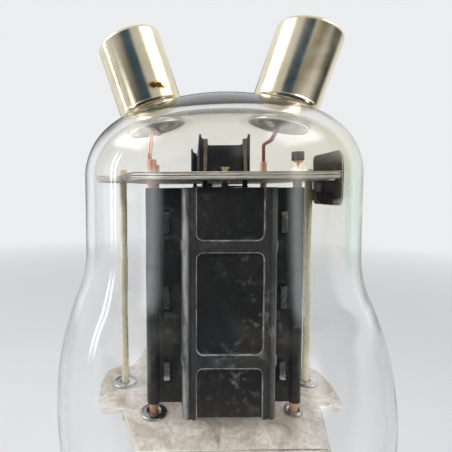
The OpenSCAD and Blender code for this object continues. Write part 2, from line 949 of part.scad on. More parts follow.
bulb();
stem();
exhaust_tube();
base_shell();
base_cement();
pin_1();
pin_2();
pin_3();
pin_4();
pin_5();
pin_6();
pin_7();
cap_left();
cap_right();
cap_cement_left();
cap_cement_right();
anode_lead_left();
anode_lead_right();
mica_top();
mica_lower();
rod_front_left();
rod_front_right();
rod_rear_left();
rod_rear_right();
support_left();
support_right();
support_foot_left();
support_foot_right();
eyelet_support_left();
eyelet_support_right();
eyelet_front_left();
eyelet_front_right();
eyelet_rear_left();
eyelet_rear_right();
anode_front_outer();
anode_front_inner();
anode_rear_outer();
anode_rear_inner();
grid_rods_front();
grid_rods_rear();
grid_winding_front();
grid_winding_rear();
grid_fin_front();
grid_fin_rear();
cathode_front();
cathode_rear();
coating_front();
coating_rear();
heater_front();
heater_rear();
getter_plate();
getter_strap();
rod_collar();
cement_bead();
lead_heater_a();
lead_heater_b();
lead_cathode();
lead_grid_front();
lead_grid_rear();
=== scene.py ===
"""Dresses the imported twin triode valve: blown glass, carbonised anodes, mica, caps and base."""
import math
import random

import bmesh
import bpy
from mathutils import Matrix, Vector, noise


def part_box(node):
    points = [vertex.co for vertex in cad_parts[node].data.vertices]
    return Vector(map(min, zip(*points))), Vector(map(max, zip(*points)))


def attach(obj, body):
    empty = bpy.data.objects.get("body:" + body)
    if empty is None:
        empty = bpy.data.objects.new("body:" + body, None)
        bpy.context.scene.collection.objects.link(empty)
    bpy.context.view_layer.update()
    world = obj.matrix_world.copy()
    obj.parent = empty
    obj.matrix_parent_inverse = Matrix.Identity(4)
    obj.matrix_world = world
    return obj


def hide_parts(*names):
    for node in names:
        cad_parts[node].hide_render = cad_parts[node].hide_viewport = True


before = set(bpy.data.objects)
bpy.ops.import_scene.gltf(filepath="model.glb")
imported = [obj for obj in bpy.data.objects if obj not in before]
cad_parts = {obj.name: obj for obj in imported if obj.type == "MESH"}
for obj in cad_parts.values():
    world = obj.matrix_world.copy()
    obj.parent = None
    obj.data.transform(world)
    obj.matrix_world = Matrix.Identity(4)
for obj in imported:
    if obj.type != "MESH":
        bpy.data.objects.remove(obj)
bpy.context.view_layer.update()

MM = 0.001
RIDES_ON = "root"
# points closer than this, in metres, are one
JOIN = 1e-7

# Levels and sizes of the valve, in millimetres, as in the part's source
TOP_MICA, LOW_MICA = 95.0, 65.0
DOME_R, CROWN_R, CORNER_R = 18.15, 28.57, 8.45
CROWN_RISE = 10.8
FLARE_Z, FLARE_R = 85.45, 15.07
BULGE_Z, BULGE_R = 65.5, 22.2
NECK_R, NECK_END = 14.3, 33.0
BASE_TOP = 40.0
LOWER_R = ((BULGE_R - NECK_R) ** 2 + (BULGE_Z - BASE_TOP) ** 2) / (2 * (BULGE_R - NECK_R))
WALL, CROWN_WALL = 1.1, 2.0
CAP_TILT, CAP_TURN = 18.6, 6.4
CAP_R, CAP_LEN, CAP_ROUND = 4.5, 10.6, 0.6
SKIRT_R, SKIRT_DEPTH, SKIRT_T, CAP_SHEET = 4.2, 1.65, 0.3, 0.35
SEAL_R, SEAL_DEPTH = 5.1, 2.2
STUB_R, STUB_LEN = 2.5, 4.2
ROD_X, ROD_Y, ROD_D = 8.8, 6.95, 1.06
SUPPORT_X = 13.3
GRID_X, GRID_D = 2.4, 0.62
CATHODE_D, LEAD_D, WIRE_D, FOOT_D = 0.85, 0.6, 0.6, 1.0
EYELET_T = 0.3
HEATER_X, HEATER_D = 0.2, 0.18
PRESS_TOP, FOOT_X = LOW_MICA - 8, 6.8
LEAD_FOOT, LEAD_KNEE = 5.0, 20.0
ANODE_TOP, ANODE_LOW = TOP_MICA - 1.6, LOW_MICA + 1.6
FIELD_HALF, FIELD_ROUND = 3.74, 0.75
FIELD_TOP_H, FIELD_LOW_H, RIB_TOP_H, RIB_LOW_H, FIELD_PAST = 5.9, 6.0, 1.45, 1.65, 2.0
FIELDS = ((ANODE_TOP + FIELD_PAST, ANODE_TOP - FIELD_TOP_H),
          (ANODE_TOP - FIELD_TOP_H - RIB_TOP_H, ANODE_LOW + FIELD_LOW_H + RIB_LOW_H),
          (ANODE_LOW + FIELD_LOW_H, ANODE_LOW - FIELD_PAST))
SEAT, FIT = 0.02, 0.03
PIN_RING, PIN_LEN, PINS = 10.85, 14.0, 7
BASE_R, BASE_WALL, BASE_FLOOR, BASE_H = 17.25, 1.9, 2.6, 26.0

CROWN_C = TOP_MICA + CROWN_RISE - CROWN_R
SIDES = (("left", -1), ("right", 1))
ENDS = (("front", -ROD_Y), ("rear", ROD_Y))


# Mesh helpers


def arc(cx, cz, r, a0, a1, steps):
    """Points of an arc in the (r, z) plane; angles in degrees."""
    out = []
    for i in range(steps + 1):
        a = math.radians(a0 + (a1 - a0) * i / steps)
        out.append((cx + r * math.cos(a), cz + r * math.sin(a)))
    return out


def new_object(name, bm, material, sharp=32.0):
    """Turns a bmesh into a smooth-shaded object with creases at sharp edges."""
    mesh = bpy.data.meshes.new(name)
    bm.to_mesh(mesh)
    bm.free()
    shade_smooth(mesh, sharp)
    obj = bpy.data.objects.new(name, mesh)
    bpy.context.scene.collection.objects.link(obj)
    if material is not None:
        mesh.materials.append(material)
    return obj


def keep(obj, node):
    """Rides a finished piece on the valve and hides the solid that it stands for."""
    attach(obj, RIDES_ON)
    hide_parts(node)
    return obj


def skin(bm, rings):
    """Faces between rings of points, each joined to the next; a ring of one point is a tip."""
    made = []
    for low, high in zip(rings, rings[1:]):
        steps = max(len(low), len(high))
        if steps == 1:
            continue
        for i in range(steps):
            j = (i + 1) % steps
            if len(low) == 1:
                corners = (low[0], high[j], high[i])
            elif len(high) == 1:
                corners = (low[i], low[j], high[0])
            else:
                corners = (low[i], low[j], high[j], high[i])
            made.append(bm.faces.new(corners))
    return made


def lathe_into(bm, points, steps, place=None):
    """Adds a closed (r, z) profile, in millimetres, revolved about its own axis, to a bmesh."""
    place = place or Matrix.Identity(4)
    rings = []
    for r, z in points:
        if r == 0:
            rings.append([bm.verts.new(place @ Vector((0, 0, z * MM)))])
            continue
        ring = []
        for i in range(steps):
            a = 2 * math.pi * i / steps
            spot = Vector((r * math.cos(a) * MM, r * math.sin(a) * MM, z * MM))
            ring.append(bm.verts.new(place @ spot))
        rings.append(ring)
    bmesh.ops.recalc_face_normals(bm, faces=skin(bm, rings + rings[:1]))


def turned(name, points, steps, place=None, material=None, sharp=32.0):
    """A closed profile revolved about its own axis, as its own object."""
    bm = bmesh.new()
    lathe_into(bm, points, steps, place)
    return new_object(name, bm, material, sharp)


def rounded_path(points, bend, steps=8):
    """Rounds the corners of a path; each bend starts and ends so far from its corner."""
    pts = [Vector(p) for p in points]
    out = [pts[0]]
    for before, here, after in zip(pts, pts[1:], pts[2:]):
        start = here + (before - here).normalized() * bend
        end = here + (after - here).normalized() * bend
        for i in range(steps + 1):
            t = i / steps
            out.append(start * (1 - t) ** 2 + here * 2 * t * (1 - t) + end * t ** 2)
    out.append(pts[-1])
    return out


def tube_into(bm, points, diameter, sides, bend, ragged):
    """Sweeps a round wire along a rounded path; a ragged one has dents of that share."""
    path = rounded_path(points, bend)
    tangents = []
    for i in range(len(path)):
        before = path[max(i - 1, 0)]
        after = path[min(i + 1, len(path) - 1)]
        tangents.append((after - before).normalized())
    side = tangents[0].orthogonal().normalized()
    rings = []
    for i, (p, t) in enumerate(zip(path, tangents)):
        side = (side - t * side.dot(t)).normalized()
        other = t.cross(side)
        ring = []
        for j in range(sides):
            a = 2 * math.pi * j / sides
            r = diameter / 2
            if ragged:
                r *= 1 - ragged * abs(noise.noise(p * 1.7 + Vector((j, i, 0)) * 0.61))
            spot = p + (side * math.cos(a) + other * math.sin(a)) * r
            ring.append(bm.verts.new(spot * MM))
        rings.append(ring)
    made = skin(bm, rings)
    made.append(bm.faces.new(list(reversed(rings[0]))))
    made.append(bm.faces.new(rings[-1]))
    bmesh.ops.recalc_face_normals(bm, faces=made)


def wires(node, material, runs, sides=16, bend=0.6, ragged=0.0):
    """Round wires that stand for one solid; each run is a path with its diameter."""
    bm = bmesh.new()
    for points, diameter in runs:
        tube_into(bm, points, diameter, sides, bend, ragged)
    keep(new_object(node + "_wire", bm, material, 40.0), node)


def merged(node):
    """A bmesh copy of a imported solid, with its loose triangles joined."""
    bm = bmesh.new()
    bm.from_mesh(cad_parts[node].data)
    bmesh.ops.remove_doubles(bm, verts=bm.verts, dist=JOIN)
    return bm


def shade_smooth(mesh, sharp):
    """Shades a mesh smooth, apart from edges sharper than an angle in degrees."""
    mesh.polygons.foreach_set("use_smooth", [True] * len(mesh.polygons))
    mesh.set_sharp_from_angle(angle=math.radians(sharp))


def dressed(node, material, bevel=0.0, segments=2, sharp=32.0, worn_highlit=None):
    """A merged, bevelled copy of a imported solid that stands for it."""
    bm = merged(node)
    if bevel:
        bmesh.ops.dissolve_limit(bm, angle_limit=math.radians(1.0), verts=bm.verts, edges=bm.edges)
    obj = new_object(node + "_piece", bm, material, sharp)
    obj.data.polygons.foreach_set("material_index", [0] * len(obj.data.polygons))
    # the bevel faces may take a second material: worn metal, made pale as a painted edge highlight
    if worn_highlit is not None:
        obj.data.materials.append(worn_highlit)
    if bevel:
        mod = obj.modifiers.new("edge", "BEVEL")
        mod.width = bevel * MM
        mod.segments = segments
        mod.limit_method = "ANGLE"
        mod.angle_limit = math.radians(30.0)
        mod.material = -1 if worn_highlit is None else 1
        bake_modifiers(obj)
        shade_smooth(obj.data, sharp)
    return keep(obj, node)


def tidy_shell(obj, sharp):
    """Merges what a cut leaves, and shades the result smooth up to an angle."""
    bm = bmesh.new()
    bm.from_mesh(obj.data)
    bmesh.ops.remove_doubles(bm, verts=bm.verts, dist=2 * JOIN)
    bmesh.ops.dissolve_degenerate(bm, dist=JOIN, edges=bm.edges)
    bmesh.ops.recalc_face_normals(bm, faces=bm.faces)
    bm.to_mesh(obj.data)
    bm.free()
    obj.data.polygons.foreach_set("material_index", [0] * len(obj.data.polygons))
    shade_smooth(obj.data, sharp)


def bake_modifiers(obj):
    """Applies an object's modifiers by swapping in its evaluated mesh."""
    bpy.context.view_layer.update()
    graph = bpy.context.evaluated_depsgraph_get()
    done = bpy.data.meshes.new_from_object(obj.evaluated_get(graph))
    obj.modifiers.clear()
    old = obj.data
    obj.data = done
    bpy.data.meshes.remove(old)


# Material helpers


class Nodes:
    """A small builder of node trees: most methods add a node and return its output."""

    def __init__(self, tree, kind="ShaderNodeTexCoord", output="Object"):
        self.tree = tree
        self.tree.nodes.clear()
        self.coords = self.node(kind).outputs[output]

    def node(self, kind, **inputs):
        """Adds a node; its inputs are named with _ for each space."""
        node = self.tree.nodes.new(kind)
        self.fill(node, inputs)
        return node

    def fill(self, node, inputs):
        for key, value in inputs.items():
            self.put(node.inputs[key.replace("_", " ")], value)

    def link(self, a, b):
        self.tree.links.new(a, b)

    def put(self, socket, value):
        """Sets a socket to a number or colour, or links it to an output."""
        if isinstance(value, bpy.types.NodeSocket):
            self.link(value, socket)
        elif isinstance(value, tuple) and len(value) == 3 and socket.type == "RGBA":
            socket.default_value = (*value, 1.0)
        else:
            socket.default_value = value

    def axis(self, name, vector=None):
        """One coordinate of a vector; without one, of the place that is shaded."""
        return self.node("ShaderNodeSeparateXYZ", Vector=vector or self.coords).outputs[name]

    def maths(self, operation, a, b=0.0, kind="ShaderNodeMath", output=0):
        node = self.node(kind)
        node.operation = operation
        self.put(node.inputs[0], a)
        self.put(node.inputs[1], b)
        return node.outputs[output]

    def times(self, a, b):
        return self.maths("MULTIPLY", a, b)

    def larger(self, a, b):
        return self.maths("MAXIMUM", a, b)

    def unsigned(self, value):
        return self.maths("ABSOLUTE", value)

    def span(self, value, low, high, to_low=0.0, to_high=1.0, soft=False):
        """Maps a number from one range to another, with clamped ends."""
        node = self.node("ShaderNodeMapRange", Value=value, From_Min=low, From_Max=high,
                         To_Min=to_low, To_Max=to_high)
        node.clamp = True
        if soft:
            node.interpolation_type = "SMOOTHSTEP"
        return node.outputs[0]

    def reach(self, value, low, high, to_low=0.0, to_high=1.0):
        """The same for a measure in metres, between two numbers in millimetres."""
        return self.span(value, low * MM, high * MM, to_low, to_high)

    def within(self, value, low, high, soft):
        """One between two numbers, with soft ends."""
        rise = self.span(value, low - soft, low + soft)
        fall = self.span(value, high - soft, high + soft, 1.0, 0.0)
        return self.times(rise, fall)

    def strip(self, value, low, high, soft):
        """The same for a measure in metres, between two numbers in millimetres."""
        return self.within(value, low * MM, high * MM, soft * MM)

    def ramp(self, fac, *stops):
        """A colour ramp; each stop is (position, colour or grey)."""
        node = self.node("ShaderNodeValToRGB", Fac=fac)
        elements = node.color_ramp.elements
        while len(elements) < len(stops):
            elements.new(0.5)
        for element, (where, colour) in zip(elements, stops):
            element.position = where
            if not isinstance(colour, tuple):
                colour = (colour, colour, colour)
            element.color = (*colour, 1.0)
        return node.outputs[0]

    def blend(self, fac, a, b):
        """Colour a where the factor is nought, and b where it is one."""
        node = self.node("ShaderNodeMix")
        node.data_type = "RGBA"
        self.put(node.inputs["Factor"], fac)
        self.put(node.inputs[6], a)
        self.put(node.inputs[7], b)
        return node.outputs[2]

    def away(self, spot, squash=(1, 1, 1)):
        """Metres from a spot in millimetres, each axis weighed by a factor."""
        vector = "ShaderNodeVectorMath"
        offset = self.maths("SUBTRACT", self.coords, [v * MM for v in spot], vector)
        weighed = self.maths("MULTIPLY", offset, squash, vector)
        return self.maths("LENGTH", weighed, (0, 0, 0), vector, "Value")

    def near(self, spot, radius, squash=(1, 1, 1)):
        """One at a spot in millimetres, fading to nought at a radius."""
        return self.reach(self.away(spot, squash), 0.0, radius, 1.0, 0.0)

    def mix(self, fac, a, b, out):
        """Sends a mix of two shaders to the output; shader b where the factor is one."""
        node = self.node("ShaderNodeMixShader")
        for socket, value in zip(node.inputs, (fac, a, b)):
            self.link(value, socket)
        self.link(node.outputs[0], out.inputs["Surface"])


class Shade(Nodes):
    """One procedural material on Object coordinates."""

    def __init__(self, name):
        self.mat = bpy.data.materials.new(name)
        self.mat.use_nodes = True
        super().__init__(self.mat.node_tree)
        self.out = self.node("ShaderNodeOutputMaterial")
        self.surface = self.node("ShaderNodeBsdfPrincipled")
        self.link(self.surface.outputs[0], self.out.inputs["Surface"])

    def set(self, **inputs):
        """Sets or links inputs of the surface."""
        self.fill(self.surface, inputs)

    def scaled(self, *scale):
        """Object coordinates multiplied along each axis, which draws a pattern out."""
        return self.node("ShaderNodeMapping", Vector=self.coords, Scale=scale).outputs[0]

    def noise(self, scale, detail, rough=0.55, warp=0.0, vector=None):
        node = self.node("ShaderNodeTexNoise", Vector=vector or self.coords, Scale=scale,
                         Detail=detail, Roughness=rough, Distortion=warp)
        return node.outputs["Fac"]

    def cells(self, scale):
        """Distance to the nearest of many scattered points."""
        node = self.node("ShaderNodeTexVoronoi", Vector=self.coords, Scale=scale)
        return node.outputs["Distance"]

    def specks(self, scale, size, patches, low, high, most=1.0):
        """Small specks, only where a coarser noise runs high."""
        speck = self.ramp(self.cells(scale), (0.0, 1.0), (size, 0.0))
        picked = self.ramp(self.noise(patches, 2), (low, 0.0), (high, most))
        return self.times(speck, picked)

    def facing(self, name):
        """One coordinate of the surface's normal."""
        return self.axis(name, self.node("ShaderNodeNewGeometry").outputs["Normal"])

    def bump(self, height, distance, strength=1.0, under=None):
        """Bumps of a depth in millimetres, over other bumps where those are given."""
        node = self.node("ShaderNodeBump", Strength=strength, Distance=distance * MM, Height=height)
        if under is not None:
            self.link(under, node.inputs["Normal"])
        self.set(Normal=node.outputs[0])
        return node.outputs[0]

    def let_lamps_through(self, share):
        """Lets a share of the lamps' light reach what lies behind the glass."""
        clear = self.node("ShaderNodeBsdfTransparent", Color=(share, share, share))
        shadow = self.node("ShaderNodeLightPath").outputs["Is Shadow Ray"]
        self.mix(shadow, self.surface.outputs[0], clear.outputs[0], self.out)


def cap_point(side, h):
    """A spot on the axis of a cap, h above the crown, in millimetres."""
    a, w = math.radians(CAP_TILT), math.radians(CAP_TURN)
    out = side * (CROWN_R + h) * math.sin(a)
    return (out * math.cos(w), -out * math.sin(w), CROWN_C + (CROWN_R + h) * math.cos(a))


# Materials


def bulb_glass():
    """Clear blown glass with a faint amber film about the caps and on the getter side."""
    s = Shade("blown_glass")
    x, z = s.axis("X"), s.axis("Z")
    film = s.times(s.reach(z, 93.5, 105.5), s.span(s.noise(70, 3, 0.5), 0.2, 0.7, 0.55, 1.0))
    film = s.larger(film, s.times(s.reach(x, -4, 17), s.reach(z, 82, 100)))
    tint = s.blend(film, (0.985, 0.99, 0.99), (0.93, 0.9, 0.78))
    # the right shoulder is seen edge on, where the glass shows its own colour
    rim = s.span(s.near((15.7, -9.1, 95), 6.0, (1, 1, 0.28)), 0.08, 0.5)
    tint = s.blend(rim, tint, s.blend(s.reach(z, 93, 101), (0.7, 0.92, 0.76), (0.95, 0.88, 0.58)))
    # the underside of each seal is rippled and dulled by the heat of sealing
    beads = s.reach(s.away((0, 0, CROWN_C)), CROWN_R - 1.35, CROWN_R - 1.5)
    spots = s.larger(s.near(cap_point(-1, -1.8), 6.4), s.near(cap_point(1, -1.8), 6.4))
    beads = s.times(beads, s.span(spots, 0.1, 0.2))
    s.set(Base_Color=tint, Roughness=s.span(beads, 0.0, 1.0, 0.015, 0.34), IOR=1.47,
          Transmission_Weight=1.0)
    s.bump(s.noise(95, 2, 0.4), 0.12, 0.5)
    s.let_lamps_through(0.92)
    return s.mat


def stem_glass():
    """Pressed glass with drawn streaks."""
    s = Shade("pressed_glass")
    streak = s.noise(420, 3, 0.5, vector=s.scaled(1, 1, 0.12))
    s.set(Base_Color=s.ramp(streak, (0.3, (0.95, 0.97, 0.96)), (0.7, (0.99, 1.0, 1.0))))
    s.set(Roughness=0.04, IOR=1.5, Transmission_Weight=1.0)
    s.bump(streak, 0.1, 0.6)
    s.let_lamps_through(0.88)
    return s.mat


def carbon(name, dusty=1.0, shine=0.5):
    """Carbonised nickel sheet: soot black, a little shiny, with dust, smudges, rub marks, and painted
    highlights down the corner columns and along the field edges.
    """
    s = Shade(name)
    x, across = s.axis("X"), s.unsigned(s.axis("X"))
    depth = s.unsigned(s.maths("SUBTRACT", s.unsigned(s.axis("Y")), ROD_Y * MM))
    cloud = s.noise(170, 5, 0.62, 0.5)
    smudge = s.noise(75, 3, 0.5, 1.4)
    rub = s.noise(900, 4, 0.7, vector=s.scaled(1, 1, 0.08))
    patch = s.noise(360, 4, 0.65, vector=s.scaled(1, 1, 0.35))
    base = s.ramp(cloud, (0.3, (0.006, 0.006, 0.0062)), (0.6, (0.011, 0.0108, 0.0105)),
                  (0.85, (0.026, 0.025, 0.0235)))
    # the frame round the fields stands proud, and is made paler than they are
    proud = s.times(s.reach(depth, 3.3, 3.55), s.span(cloud, 0.25, 0.7, 0.3, 0.9))
    base = s.blend(proud, base, (0.034, 0.0335, 0.0325))
    # a painted highlight down the rounded corner columns, broken into patches
    column_highlight = s.times(s.strip(across, 4.66, 5.75, 0.12), s.reach(depth, 0.8, 2.6))
    column_highlight = s.times(column_highlight, s.span(patch, 0.34, 0.62, 0.1, 0.6))
    base = s.blend(column_highlight, base, (0.1, 0.099, 0.096))
    # a painted highlight stripe runs down each corner, wider on the left
    highlight_stripe = s.larger(s.strip(x, -5.4, -4.78, 0.22), s.strip(x, 5.2, 5.5, 0.14))
    highlight_stripe = s.times(highlight_stripe, s.reach(depth, 1.2, 2.6))
    highlight_streaks = s.noise(1500, 4, 0.7, vector=s.scaled(1, 1, 0.12))
    highlight_streaks = s.maths("ADD", highlight_streaks, s.span(patch, 0.36, 0.6, -0.2, 0.12))
    base = s.blend(s.times(highlight_stripe, s.span(highlight_streaks, 0.36, 0.62)), base, (0.33, 0.33, 0.32))
    # a painted highlight along the pressed edge of each field, on the frame's side
    lines = s.times(field_edge_highlights(s, across), s.reach(depth, 3.4, 3.5))
    broken = s.span(s.noise(560, 5, 0.75), 0.4, 0.58, 0.18, 1.0)
    base = s.blend(s.times(lines, broken), base, (0.36, 0.355, 0.34))
    # dust has settled most on the lower half of the front field
    thick = s.span(s.near((1.5, -10.8, 75.5), 9.5), 0.1, 0.6, 0.3, 1.0)
    dust = s.times(s.span(s.noise(1000, 4, 0.6), 0.52, 0.68, 0.0, 0.8 * dusty),
                   s.span(s.noise(150, 3, 0.5), 0.4, 0.56))
    base = s.blend(s.times(dust, thick), base, (0.17, 0.17, 0.165))
    base = s.blend(s.span(smudge, 0.56, 0.72, 0.0, 0.2 * dusty), base, (0.08, 0.078, 0.074))
    base = s.blend(s.span(rub, 0.6, 0.8, 0.0, 0.2 * dusty), base, (0.13, 0.128, 0.12))
    base = s.blend(s.specks(820, 0.075, 330, 0.55, 0.64), base, (0.34, 0.33, 0.3))
    rough = s.maths("ADD", s.span(cloud, 0.25, 0.8, 0.33, 0.44),
                    s.span(smudge, 0.5, 0.75, 0.0, 0.16))
    s.set(Base_Color=base, Roughness=rough, Metallic=0.0, Specular_IOR_Level=shine)
    s.bump(s.noise(190, 2, 0.5, 0.4), 0.03, 0.35)
    return s.mat


def field_edge_highlights(s, across):
    """One along the pressed edge of each field, for a painted highlight there: the distance to a
    rounded oblong.
    """
    out = None
    r = FIELD_ROUND * MM
    beside = s.maths("SUBTRACT", across, FIELD_HALF * MM - r)
    wide = s.larger(beside, 0.0)
    for top, low in FIELDS:
        middle, half = (top + low) / 2 * MM, (top - low) / 2 * MM
        along = s.unsigned(s.maths("SUBTRACT", s.axis("Z"), middle))
        along = s.maths("SUBTRACT", along, half - r)
        tall = s.larger(along, 0.0)
        corner = s.maths("SQRT", s.maths("ADD", s.times(wide, wide), s.times(tall, tall)))
        inside = s.maths("MINIMUM", s.larger(beside, along), 0.0)
        away = s.unsigned(s.maths("SUBTRACT", s.maths("ADD", corner, inside), r))
        line = s.reach(away, 0.05, 0.13, 1.0, 0.0)
        out = line if out is None else s.larger(out, line)
    return out


def worn_highlit_edge():
    """Where the soot has rubbed thin on bends and cut edges and the nickel shows; made paler and more
    metallic than the wear alone, as a painted edge highlight.
    """
    s = Shade("carbon_worn_highlit_edge")
    patch = s.noise(620, 4, 0.65, 0.6)
    fine = s.noise(4200, 2, 0.6)
    through = s.span(s.maths("ADD", patch, s.span(fine, 0.3, 0.7, -0.06, 0.06)), 0.42, 0.62)
    s.set(Base_Color=s.blend(through, (0.035, 0.034, 0.033), (0.24, 0.23, 0.215)))
    s.set(Metallic=s.span(through, 0.0, 1.0, 0.1, 0.8), Roughness=s.span(patch, 0.3, 0.7, 0.42, 0.28))
    return s.mat


def mica():
    """Split mica: mottled warm grey with veins, cleavage lines and a pearly gloss."""
    s = Shade("split_mica")
    blotch = s.noise(210, 6, 0.66, 1.2)
    vein = s.noise(520, 5, 0.7, 2.4)
    fleck = s.cells(1300)
    sheets = s.noise(1.0, 5, 0.75, vector=s.scaled(260, 260, 9000))
    base = s.ramp(blotch, (0.3, (0.36, 0.305, 0.245)), (0.45, (0.56, 0.49, 0.415)),
                  (0.56, (0.7, 0.64, 0.56)), (0.7, (0.79, 0.745, 0.68)))
    base = s.blend(s.span(vein, 0.5, 0.66, 0.0, 0.75), base, (0.4, 0.33, 0.27))
    grit = s.noise(1700, 4, 0.7, 0.5)
    base = s.blend(s.span(grit, 0.52, 0.66, 0.0, 0.4), base, (0.36, 0.31, 0.26))
    base = s.blend(s.ramp(fleck, (0.0, 0.65), (0.12, 0.0)), base, (0.9, 0.88, 0.82))
    lines = s.ramp(sheets, (0.4, 0.0), (0.62, 1.0))
    upright = s.maths("SUBTRACT", 1.0, s.unsigned(s.facing("Z")))
    layered = s.blend(lines, (0.84, 0.79, 0.7), (1.0, 0.985, 0.945))
    base = s.blend(s.span(upright, 0.15, 0.5), base, layered)
    s.set(Base_Color=base, Roughness=s.span(vein, 0.3, 0.8, 0.24, 0.5), Specular_IOR_Level=0.6)
    s.bump(sheets, 0.05, 0.7, s.bump(blotch, 0.05, 0.4))
    return s.mat


def metal(name, colour, dull, rough=(0.18, 0.34), scale=260.0, drawn=True, spots=0.0, bare=1.0):
    """Drawn or pressed metal with uneven tarnish and fine drawing lines along Z."""
    s = Shade(name)
    cloud = s.noise(scale, 4, 0.6, 0.6)
    lines = s.noise(2600, 2, 0.6, vector=s.scaled(1, 1, 0.03 if drawn else 1.0))
    base = s.blend(s.span(cloud, 0.38, 0.72), colour, dull)
    if spots:
        mark = s.ramp(s.noise(scale * 2.3, 3, 0.7), (0.66, 0.0), (0.74, spots))
        base = s.blend(mark, base, tuple(v * 0.35 for v in dull))
    s.set(Base_Color=base, Metallic=bare)
    s.set(Roughness=s.maths("ADD", s.span(cloud, 0.3, 0.8, *rough), s.span(lines, 0.3, 0.7, 0, 0.07)))
    s.bump(lines, 0.006, 0.6)
    return s.mat


def tab_metal():
    """Bare bright nickel, dulled by soot on the upper tabs at the front left."""
    s = Shade("tab_bright")
    cloud = s.noise(900, 4, 0.65, 0.6)
    soot = s.times(s.reach(s.axis("X"), -3, -5), s.reach(s.axis("Z"), 73.5, 75.5))
    soot = s.times(soot, s.reach(s.axis("Y"), -4, -6))
    base = s.blend(s.span(cloud, 0.4, 0.65), (0.8, 0.79, 0.76), (0.4, 0.385, 0.36))
    base = s.blend(s.times(soot, s.span(cloud, 0.32, 0.5, 0.8, 0.3)), base, (0.03, 0.03, 0.03))
    s.set(Base_Color=base, Metallic=1.0, Roughness=s.span(cloud, 0.3, 0.8, 0.2, 0.36))
    s.bump(cloud, 0.02, 0.5)
    return s.mat


def cap_metal():
    """Pale gold plate, polished by handling, with wear, tarnish specks and a burn mark."""
    s = Shade("cap_plate")
    cloud = s.noise(210, 4, 0.6, 0.8)
    fine = s.noise(3400, 3, 0.65)
    dent = s.noise(130, 2, 0.4)
    wear = s.noise(760, 4, 0.7, 0.5)
    base = s.ramp(cloud, (0.3, (0.74, 0.64, 0.44)), (0.55, (0.87, 0.78, 0.58)),
                  (0.8, (0.92, 0.86, 0.71)))
    base = s.blend(s.span(wear, 0.6, 0.74, 0.0, 0.5), base, (0.55, 0.5, 0.42))
    burn = s.near((-8.1, -3.1, 106.9), 1.5, (0.8, 0.4, 1.9))
    burn = s.times(burn, s.span(wear, 0.35, 0.55, 0.2, 1.0))
    base = s.blend(s.span(burn, 0.1, 0.3, 0.0, 0.75), base, (0.62, 0.42, 0.1))
    base = s.blend(s.span(burn, 0.3, 0.48), base, (0.15, 0.05, 0.02))
    base = s.blend(s.specks(1100, 0.09, 300, 0.57, 0.64, 0.85), base, (0.2, 0.13, 0.08))
    rough = s.maths("ADD", s.span(cloud, 0.25, 0.8, 0.13, 0.24), s.span(burn, 0.2, 0.5, 0.0, 0.3))
    # the skirt in the glass was never rubbed, and is matt
    skirt = s.reach(s.away((0, 0, CROWN_C)), CROWN_R + 0.42, CROWN_R + 0.12)
    matt = s.blend(s.span(wear, 0.35, 0.65), (0.86, 0.76, 0.5), (0.7, 0.6, 0.4))
    base = s.blend(skirt, base, matt)
    rough = s.maths("ADD", rough, s.span(skirt, 0.0, 1.0, 0.0, 0.3))
    s.set(Base_Color=base, Metallic=s.span(skirt, 0.0, 1.0, 1.0, 0.35), Roughness=rough)
    s.bump(fine, 0.004, 0.6, s.bump(dent, 0.12, 0.35))
    return s.mat


def phenolic():
    """Moulded black phenolic with a brown cast, faint flow marks and handling scuffs."""
    s = Shade("black_phenolic")
    flow = s.noise(70, 3, 0.55, 1.2)
    haze = s.noise(380, 4, 0.6, 0.8)
    scuff = s.noise(2100, 3, 0.65, 0.4)
    base = s.ramp(flow, (0.3, (0.011, 0.0088, 0.0078)), (0.7, (0.018, 0.0142, 0.012)))
    base = s.blend(s.times(s.span(haze, 0.55, 0.75), s.span(scuff, 0.5, 0.7, 0.0, 0.3)),
                   base, (0.09, 0.08, 0.07))
    rough = s.maths("ADD", s.span(flow, 0.3, 0.7, 0.2, 0.28), s.span(haze, 0.5, 0.8, 0.0, 0.16))
    s.set(Base_Color=base, Roughness=rough, Specular_IOR_Level=0.42)
    s.bump(flow, 0.05, 0.3)
    return s.mat


def getter_dark():
    """Heat stained sheet: nearly black brown, glossy, with a few bright specks."""
    s = Shade("heat_stain")
    cloud = s.noise(330, 4, 0.6, 1.2)
    base = s.ramp(cloud, (0.25, (0.01, 0.008, 0.006)), (0.45, (0.028, 0.022, 0.014)),
                  (0.66, (0.085, 0.069, 0.043)), (0.85, (0.04, 0.036, 0.03)))
    base = s.blend(s.specks(1250, 0.08, 420, 0.6, 0.68), base, (0.8, 0.76, 0.68))
    s.set(Base_Color=base, Roughness=s.span(cloud, 0.3, 0.8, 0.14, 0.32), Specular_IOR_Level=0.16)
    s.bump(cloud, 0.05, 0.4)
    return s.mat


def chalk(name, colour, dark, scale=900.0, depth=0.05):
    """Dry cement or oxide: matt, pitted, uneven."""
    s = Shade(name)
    pits = s.noise(scale, 6, 0.7, 0.5)
    s.set(Base_Color=s.ramp(pits, (0.32, dark), (0.58, colour)), Roughness=0.85)
    s.bump(pits, depth, 0.9)
    return s.mat


GLASS = bulb_glass()
STEM_GLASS = stem_glass()
ANODE = carbon("anode_carbon")
FIN = carbon("fin_carbon", 0.25, 0.3)
